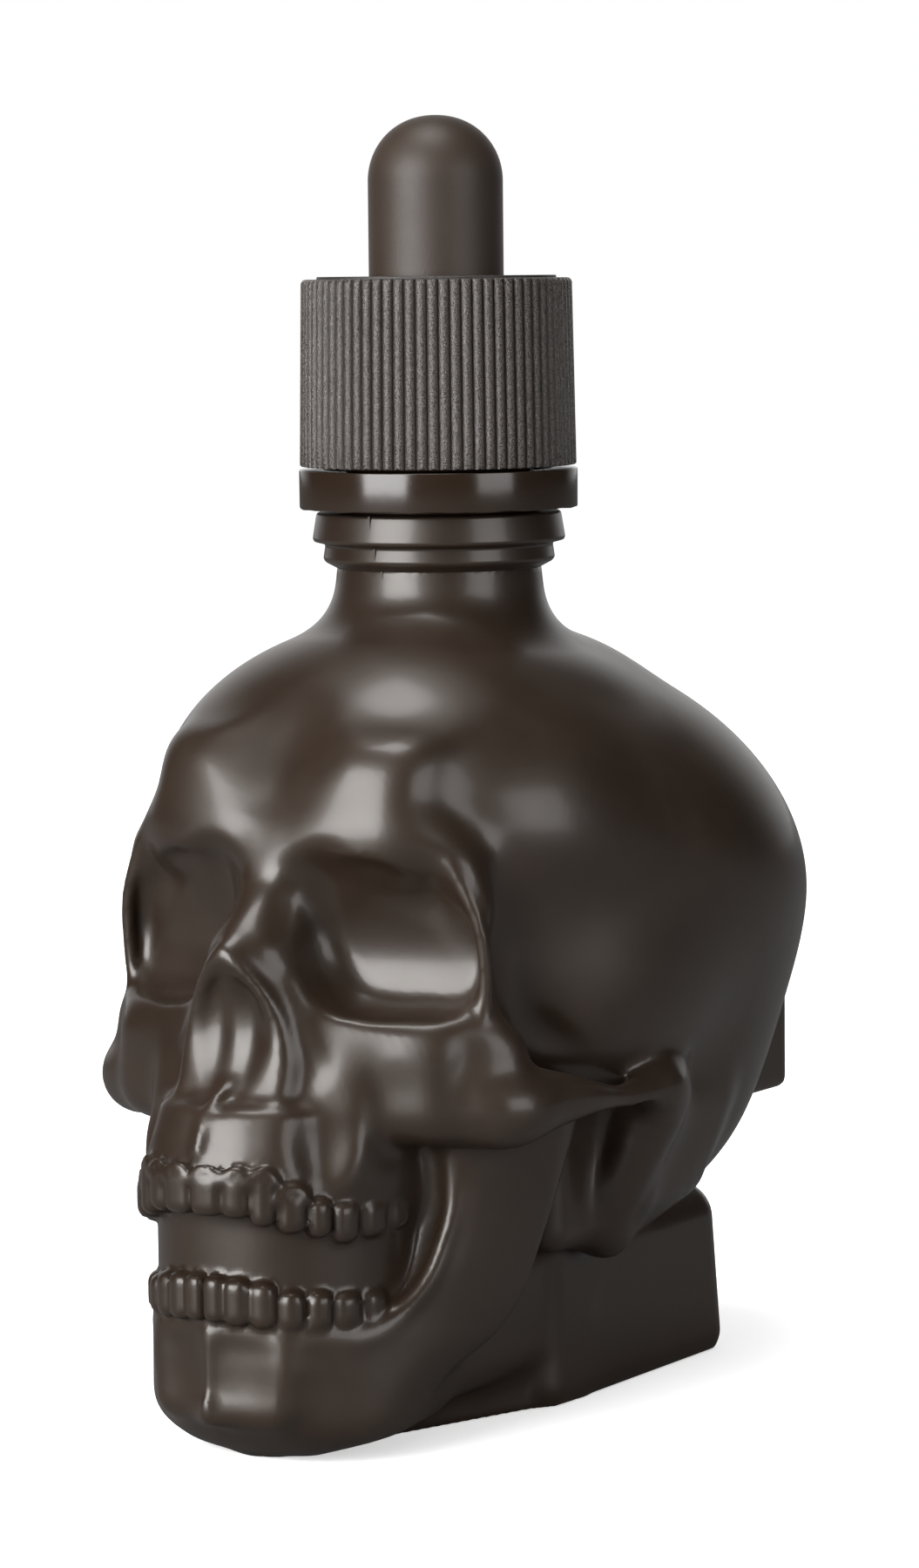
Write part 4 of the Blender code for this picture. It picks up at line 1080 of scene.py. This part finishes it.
def glassBottle():
    bottle = clayObject("skullBottle", skull["step"])
    foot = skull["neckFoot"]
    side = skull["neckRadius"] - 0.5
    ring = neck["ring"]
    collar = neck["collar"]
    top = neck["collarTop"]
    corners = [
        (0, skull["height"] - 4, 0),
        (side, skull["height"] - 4, 0),
        (side, foot - 0.5, 0),
        (ring - 0.2, foot + 0.3, 0.3),
        (ring, foot + 0.6, 0.4),
        (ring - 0.19, foot + 1.85, 0.25),
        (collar - 0.1, foot + 2.1, 0.2),
        (collar, foot + 2.35, 0.2),
        (collar - 0.34, top - 0.15, 0.25),
        (collar - 0.5, top, 0.1),
        (neck["bead"] - 1.0, top, 0.2),
        (neck["bead"] - 1.0, top + 2.05, 0.2),
        (neck["bead"], top + 2.25, 0.2),
        (neck["bead"], top + 2.9, 0.3),
        (neck["finish"], top + 3.7, 0.3),
        (neck["finish"], neck["top"], 0.5),
        (0, neck["top"], 0),
    ]
    finish = turned("finish", corners, 144)
    start, turns, pitch = neck["threadStart"], neck["threadTurns"], neck["pitch"]
    thread = threadBead("thread", neck["finish"] - 0.05, start, turns, pitch, neck["threadBead"])
    hollow = clayObject("hollow", skull["hollowStep"], skull["wall"])
    low, high = skull["boreFoot"], neck["top"] + 6
    bore = turned("bore", [(0, low, 0), (neck["bore"], low, 0), (neck["bore"], high, 0), (0, high, 0)], 96)
    seamSpans = [
        (side + 0.5, foot - 2.8, foot),
        (ring - 0.1, foot + 0.8, foot + 1.8),
        (collar - 0.25, foot + 2.5, top),
    ]
    added = [thread]
    for radius, low, high in seamSpans:
        depth, width = neck["seamDepth"], neck["seamWidth"]
        added.append(blockRing("seam", 2, radius - 0.3, depth, width, low, high, -90))
    finish = joined(finish, added, "UNION")
    hollow = joined(hollow, [bore], "UNION")
    bottle = joined(bottle, [finish], "UNION")
    bottle = joined(bottle, [hollow], "DIFFERENCE")
    sharpened(bottle, 50)
    dressed(bottle, "bottle", "skull_bottle", lacquer)
    print("glass bottle:", len(bottle.data.polygons), "faces")


glassBottle()


# tamper band

band = {
    "low": 77.75,
    "high": 81.15,
    "radius": 12.08,
    "ledge": 8.98,  # the lip that is caught under the neck's bead
    "bore": 9.92,
    "around": 240,
    "flash": 0.1,
}


def bandWobble(angle, r, z):  # the torn bridges leave the lower edge slightly wavy
    if z < band["low"] + 0.4 and r > 9.5:
        z += band["flash"] * (0.5 + 0.5 * math.sin(17 * angle) * math.sin(5 * angle + 1))
    return r, z


def tamperBand():
    low, high = band["low"], band["high"]
    corners = [
        (band["ledge"], low, 0.1),
        (band["radius"] - 0.02, low, 0.12),
        (band["radius"], high, 0.08),
        (band["bore"], high, 0.1),
        (band["bore"], low + 1.7, 0.1),
        (band["ledge"], low + 1.42, 0.1),
    ]
    ring = turned("tamperBand", corners, band["around"], bandWobble)
    sharpened(ring, 45)
    dressed(ring, "band", "tamper_band", gloss)
    print("tamper band made")


tamperBand()


# inner cap

inner = {
    "low": 81.45,
    "bore": 9.1,
    "outer": 10.15,
    "plateLow": 94.4,
    "plateHigh": 95.6,
    "hole": 6.23,
    "shoulder": 84.25,
    "lugs": 6,
    "lugRadius": 8.19,
    "lugAlong": 1.7,
    "lugAcross": 1.6,
    "threadBead": 0.75,
}


def innerCap():
    c = inner
    corners = [
        (c["bore"], c["low"], 0.2),
        (c["outer"] - 0.4, c["low"], 0.2),
        (c["outer"] - 0.4, c["shoulder"], 0.1),
        (c["outer"], c["shoulder"], 0.1),
        (c["outer"], c["plateHigh"], 0.4),
        (c["hole"], c["plateHigh"], 0.15),
        (c["hole"], c["plateLow"], 0.15),
        (c["bore"], c["plateLow"], 0.3),
    ]
    cap = turned("innerCap", corners, 144)
    start = neck["threadStart"] - neck["pitch"] / 2
    turns, pitch = neck["threadTurns"], neck["pitch"]
    thread = threadBead("capThread", c["bore"] + 0.05, start, turns, pitch, c["threadBead"])
    along, across = c["lugAlong"], c["lugAcross"]
    low, high = c["plateHigh"] - 0.6, c["plateHigh"] + 0.9
    lugs = blockRing("lugs", c["lugs"], c["lugRadius"], along, across, low, high)
    cap = joined(cap, [thread, lugs], "UNION")
    sharpened(cap)
    dressed(cap, "inner", "inner_cap", innerGloss)
    print("inner cap made")


innerCap()


# ribbed outer cap

shell = {
    "low": 81.45,
    "high": 97.75,
    "radiusLow": 12.0,
    "radiusHigh": 11.72,
    "ribs": 74,
    "ribDepth": 0.36,
    "round": 2.4,  # the higher, the blunter the crest and the narrower the groove
    "disc": 10.36,
    "bore": 10.45,
    "snap": 10.05,  # the ring that keeps the inner cap in
    "ceiling": 95.9,
    "pocketLow": 95.4,
    "pocketHigh": 96.75,
    "pocketAlong": 2.3,
    "pocketAcross": 2.2,
}


def ribShape(share):  # 1 on a rounded crest, 0 in a narrow groove
    return 1 - (2 * abs((share + 0.5) % 1 - 0.5)) ** shell["round"]


def outerCap():
    c = shell
    perRib = 14
    count = c["ribs"] * perRib
    levels = [(c["low"], -0.12), (c["low"] + 0.12, 0.0)]
    levels += [(c["low"] + 0.12 + (c["high"] - c["low"] - 0.72) * k / 6, 0.0) for k in range(1, 7)]
    levels += [(c["high"] - 0.42, -0.08), (c["high"] - 0.28, -0.2), (c["high"] - 0.22, -0.42)]
    points = []
    for z, inset in levels:
        share = (z - c["low"]) / (c["high"] - c["low"])
        base = c["radiusLow"] + (c["radiusHigh"] - c["radiusLow"]) * share
        for i in range(count):
            angle = 2 * math.pi * i / count
            r = base - c["ribDepth"] * (1 - ribShape(i / perRib))
            r = min(r, base + inset) if inset < 0 else r
            points.append((r * math.cos(angle), r * math.sin(angle), z))
    faces = []
    for k in range(len(levels) - 1):
        a = k * count
        for i in range(count):
            j = (i + 1) % count
            faces.append((a + i, a + j, a + count + j, a + count + i))
    last = (len(levels) - 1) * count
    faces.append(list(range(count - 1, -1, -1)))
    faces.append(list(range(last, last + count)))
    cap = meshObject("outerCap", points, faces)
    high = c["high"]
    plate = [(0, high - 1, 0), (c["disc"], high - 1, 0), (c["disc"], high, 0.12), (0, high, 0)]
    disc = turned("disc", plate, 144)
    room = [
        (0, c["low"] - 1, 0),
        (c["bore"], c["low"] - 1, 0),
        (c["bore"], c["low"] + 0.5, 0.1),
        (c["snap"], c["low"] + 0.6, 0.1),
        (c["snap"], c["low"] + 1.2, 0.1),
        (c["bore"], c["low"] + 1.4, 0.1),
        (c["bore"], c["ceiling"], 0.3),
        (inner["hole"], c["ceiling"], 0.1),
        (inner["hole"], high - 0.3, 0.0),
        (inner["hole"] + 0.25, high + 0.02, 0.0),
        (inner["hole"] + 0.25, high + 1, 0.0),
        (0, high + 1, 0),
    ]
    hollow = turned("room", room, 144)
    along, across = c["pocketAlong"], c["pocketAcross"]
    low, high = c["pocketLow"], c["pocketHigh"]
    pockets = blockRing("pockets", inner["lugs"], inner["lugRadius"], along, across, low, high)
    cap = joined(cap, [disc], "UNION")
    cap = joined(cap, [pockets, hollow], "DIFFERENCE")
    sharpened(cap, 38)
    dressed(cap, "outer", "outer_cap", textured)
    print("outer cap:", len(cap.data.polygons), "faces")


outerCap()


# bulb and pipette

bulb = {
    "radius": 5.83,
    "top": 111.53,
    "dome": 5.63,
    "wall": 1.3,
    "flange": 7.8,
    "flangeLow": 92.9,
    "flangeHigh": 94.1,
    "hole": 3.8,
}


def rubberBulb():
    c = bulb
    side = c["radius"]
    inside = side - c["wall"]
    start = c["top"] - c["dome"]
    corners = [(0, c["top"] - c["wall"], 0)]
    for k in range(15, 0, -1):
        t = math.pi / 2 * k / 16
        corners.append((inside * math.cos(t), start + (c["dome"] - c["wall"]) * math.sin(t), 0))
    low, high = c["flangeLow"], c["flangeHigh"]
    corners += [(inside, start, 0), (inside, high + 2.2, 0.3), (c["hole"], high + 1.9, 0.2)]
    corners += [(c["hole"], low, 0.2), (c["flange"], low, 0.25), (c["flange"], high, 0.25)]
    corners += [(side, high, 0.4), (side, start - 2, 0)]
    for k in range(24):
        t = math.pi / 2 * k / 24
        corners.append((side * math.cos(t) ** 0.94, start + c["dome"] * math.sin(t), 0))
    corners.append((0, c["top"], 0))
    thing = turned("bulb", corners, 144)
    sharpened(thing, 50)
    dressed(thing, "dropper", "bulb", rubber)
    print("bulb made")


rubberBulb()

tube = {"radius": 3.5, "wall": 1.0, "tip": 1.4, "low": 10.0, "rimLow": 96.6}


def glassPipette():
    c = tube
    inside = c["radius"] - c["wall"]
    corners = [
        (c["tip"] - 0.7, c["low"], 0.15),
        (c["tip"], c["low"], 0.3),
        (c["tip"] + 0.15, c["low"] + 4, 2),
        (c["radius"], c["low"] + 12, 3),
        (c["radius"], c["rimLow"] - 0.2, 0.3),
        (c["radius"] + 0.75, c["rimLow"] + 0.3, 0.3),
        (c["radius"] + 0.75, c["rimLow"] + 0.8, 0.2),
        (c["radius"] + 0.3, c["rimLow"] + 1.2, 0.2),
        (inside, c["rimLow"] + 1.2, 0.2),
        (inside, c["low"] + 12.6, 3),
        (c["tip"] - 0.65, c["low"] + 4, 2),
    ]
    thing = turned("pipette", corners, 96, arc=6)
    sharpened(thing, 50)
    dressed(thing, "dropper", "pipette", clear)
    print("pipette made")


glassPipette()


# floor and light

studio = {
    "worldDiffuse": 0.5,
    "worldDark": 0.01,  # what the lacquer mirrors of the room in front of the table
    "paperEdge": (0.62, 0.97),  # where the white paper behind the table starts, as a share of the way ahead
    "floorTone": 0.18,
    "floorGlow": 0.5,
    "floorSize": 3.0,  # m from the middle to each side
    "lampCentre": 0.05,  # m over the table, where the soft boxes point
}
softBoxes = {  # azimuth and height in degrees from the front of the skull, lengths in m
    "keyBox": {"azimuth": -11.5, "height": 16.7, "away": 0.8, "wide": 0.57, "tall": 0.55, "glow": 9.0},
    "sideBox": {"azimuth": 81, "height": 12, "away": 0.9, "wide": 0.5, "tall": 0.42, "glow": 2.8},
    "topBox": {"azimuth": -20, "height": 82, "away": 0.8, "wide": 0.42, "tall": 0.3, "glow": 7.0},
}


def addFloor():
    half = studio["floorSize"]
    mesh = bpy.data.meshes.new("floor")
    corners = [(-half, -half, 0), (half, -half, 0), (half, half, 0), (-half, half, 0)]
    mesh.from_pydata(corners, [], [(0, 1, 2, 3)])
    floor = bpy.data.objects.new("floor", mesh)
    bpy.context.scene.collection.objects.link(floor)
    made, shader, start = newMaterial("paleFloor", {"Roughness": 0.9, "Specular IOR Level": 0.0})
    seen = start.node("ShaderNodeLightPath", output="Is Camera Ray")
    tone = studio["floorTone"]
    feed(shader, "Base Color", start.tint(seen, (tone, tone, tone), (1, 1, 1)))
    feed(shader, "Emission Color", start.tint(seen, (0, 0, 0), [studio["floorGlow"]] * 3))
    shader.inputs["Emission Strength"].default_value = 1.0
    mesh.materials.append(made)


def addWorld():
    world = bpy.data.worlds.new("studio")
    bpy.context.scene.world = world
    world.use_nodes = True
    start = Flow(world.node_tree)
    background = world.node_tree.nodes["Background"]
    background.inputs["Color"].default_value = (1, 1, 1, 1)
    camera = start.node("ShaderNodeLightPath", output="Is Camera Ray")
    glossy = start.node("ShaderNodeLightPath", output="Is Glossy Ray")
    clear = start.node("ShaderNodeLightPath", output="Is Transmission Ray")
    turn = math.radians(view["azimuth"])
    axis = (-math.sin(turn), math.cos(turn), 0)
    ahead = start.node("ShaderNodeTexCoord", output="Generated")
    ahead = start.node("ShaderNodeVectorMath", {"operation": "DOT_PRODUCT"}, {0: ahead, 1: axis}, "Value")
    paper = ahead.smoothed(*studio["paperEdge"])
    room = studio["worldDark"] + (1 - studio["worldDark"]) * paper
    level = studio["worldDiffuse"] + glossy * (room - studio["worldDiffuse"])
    level = level + (1 - studio["worldDiffuse"]) * camera
    level = level + (1 - studio["worldDiffuse"]) * clear * (1 - glossy)
    feed(background, "Strength", level)


def addSoftBox(name, azimuth, height, away, wide, tall, glow):
    lamp = bpy.data.lights.new(name, "AREA")
    lamp.shape = "RECTANGLE"
    lamp.size = wide
    lamp.size_y = tall
    lamp.energy = glow * 4 * wide * tall
    thing = bpy.data.objects.new(name, lamp)
    bpy.context.scene.collection.objects.link(thing)
    turn, rise = math.radians(azimuth), math.radians(height)
    outward = Vector((math.sin(turn) * math.cos(rise), -math.cos(turn) * math.cos(rise), math.sin(rise)))
    thing.location = outward * away + Vector((0, 0, studio["lampCentre"]))
    thing.rotation_mode = "QUATERNION"
    thing.rotation_quaternion = outward.to_track_quat("Z", "Y")


addFloor()
addWorld()
for name, settings in softBoxes.items():
    addSoftBox(name, **settings)
bpy.context.scene.view_settings.view_transform = "Standard"
print("floor and lights set")
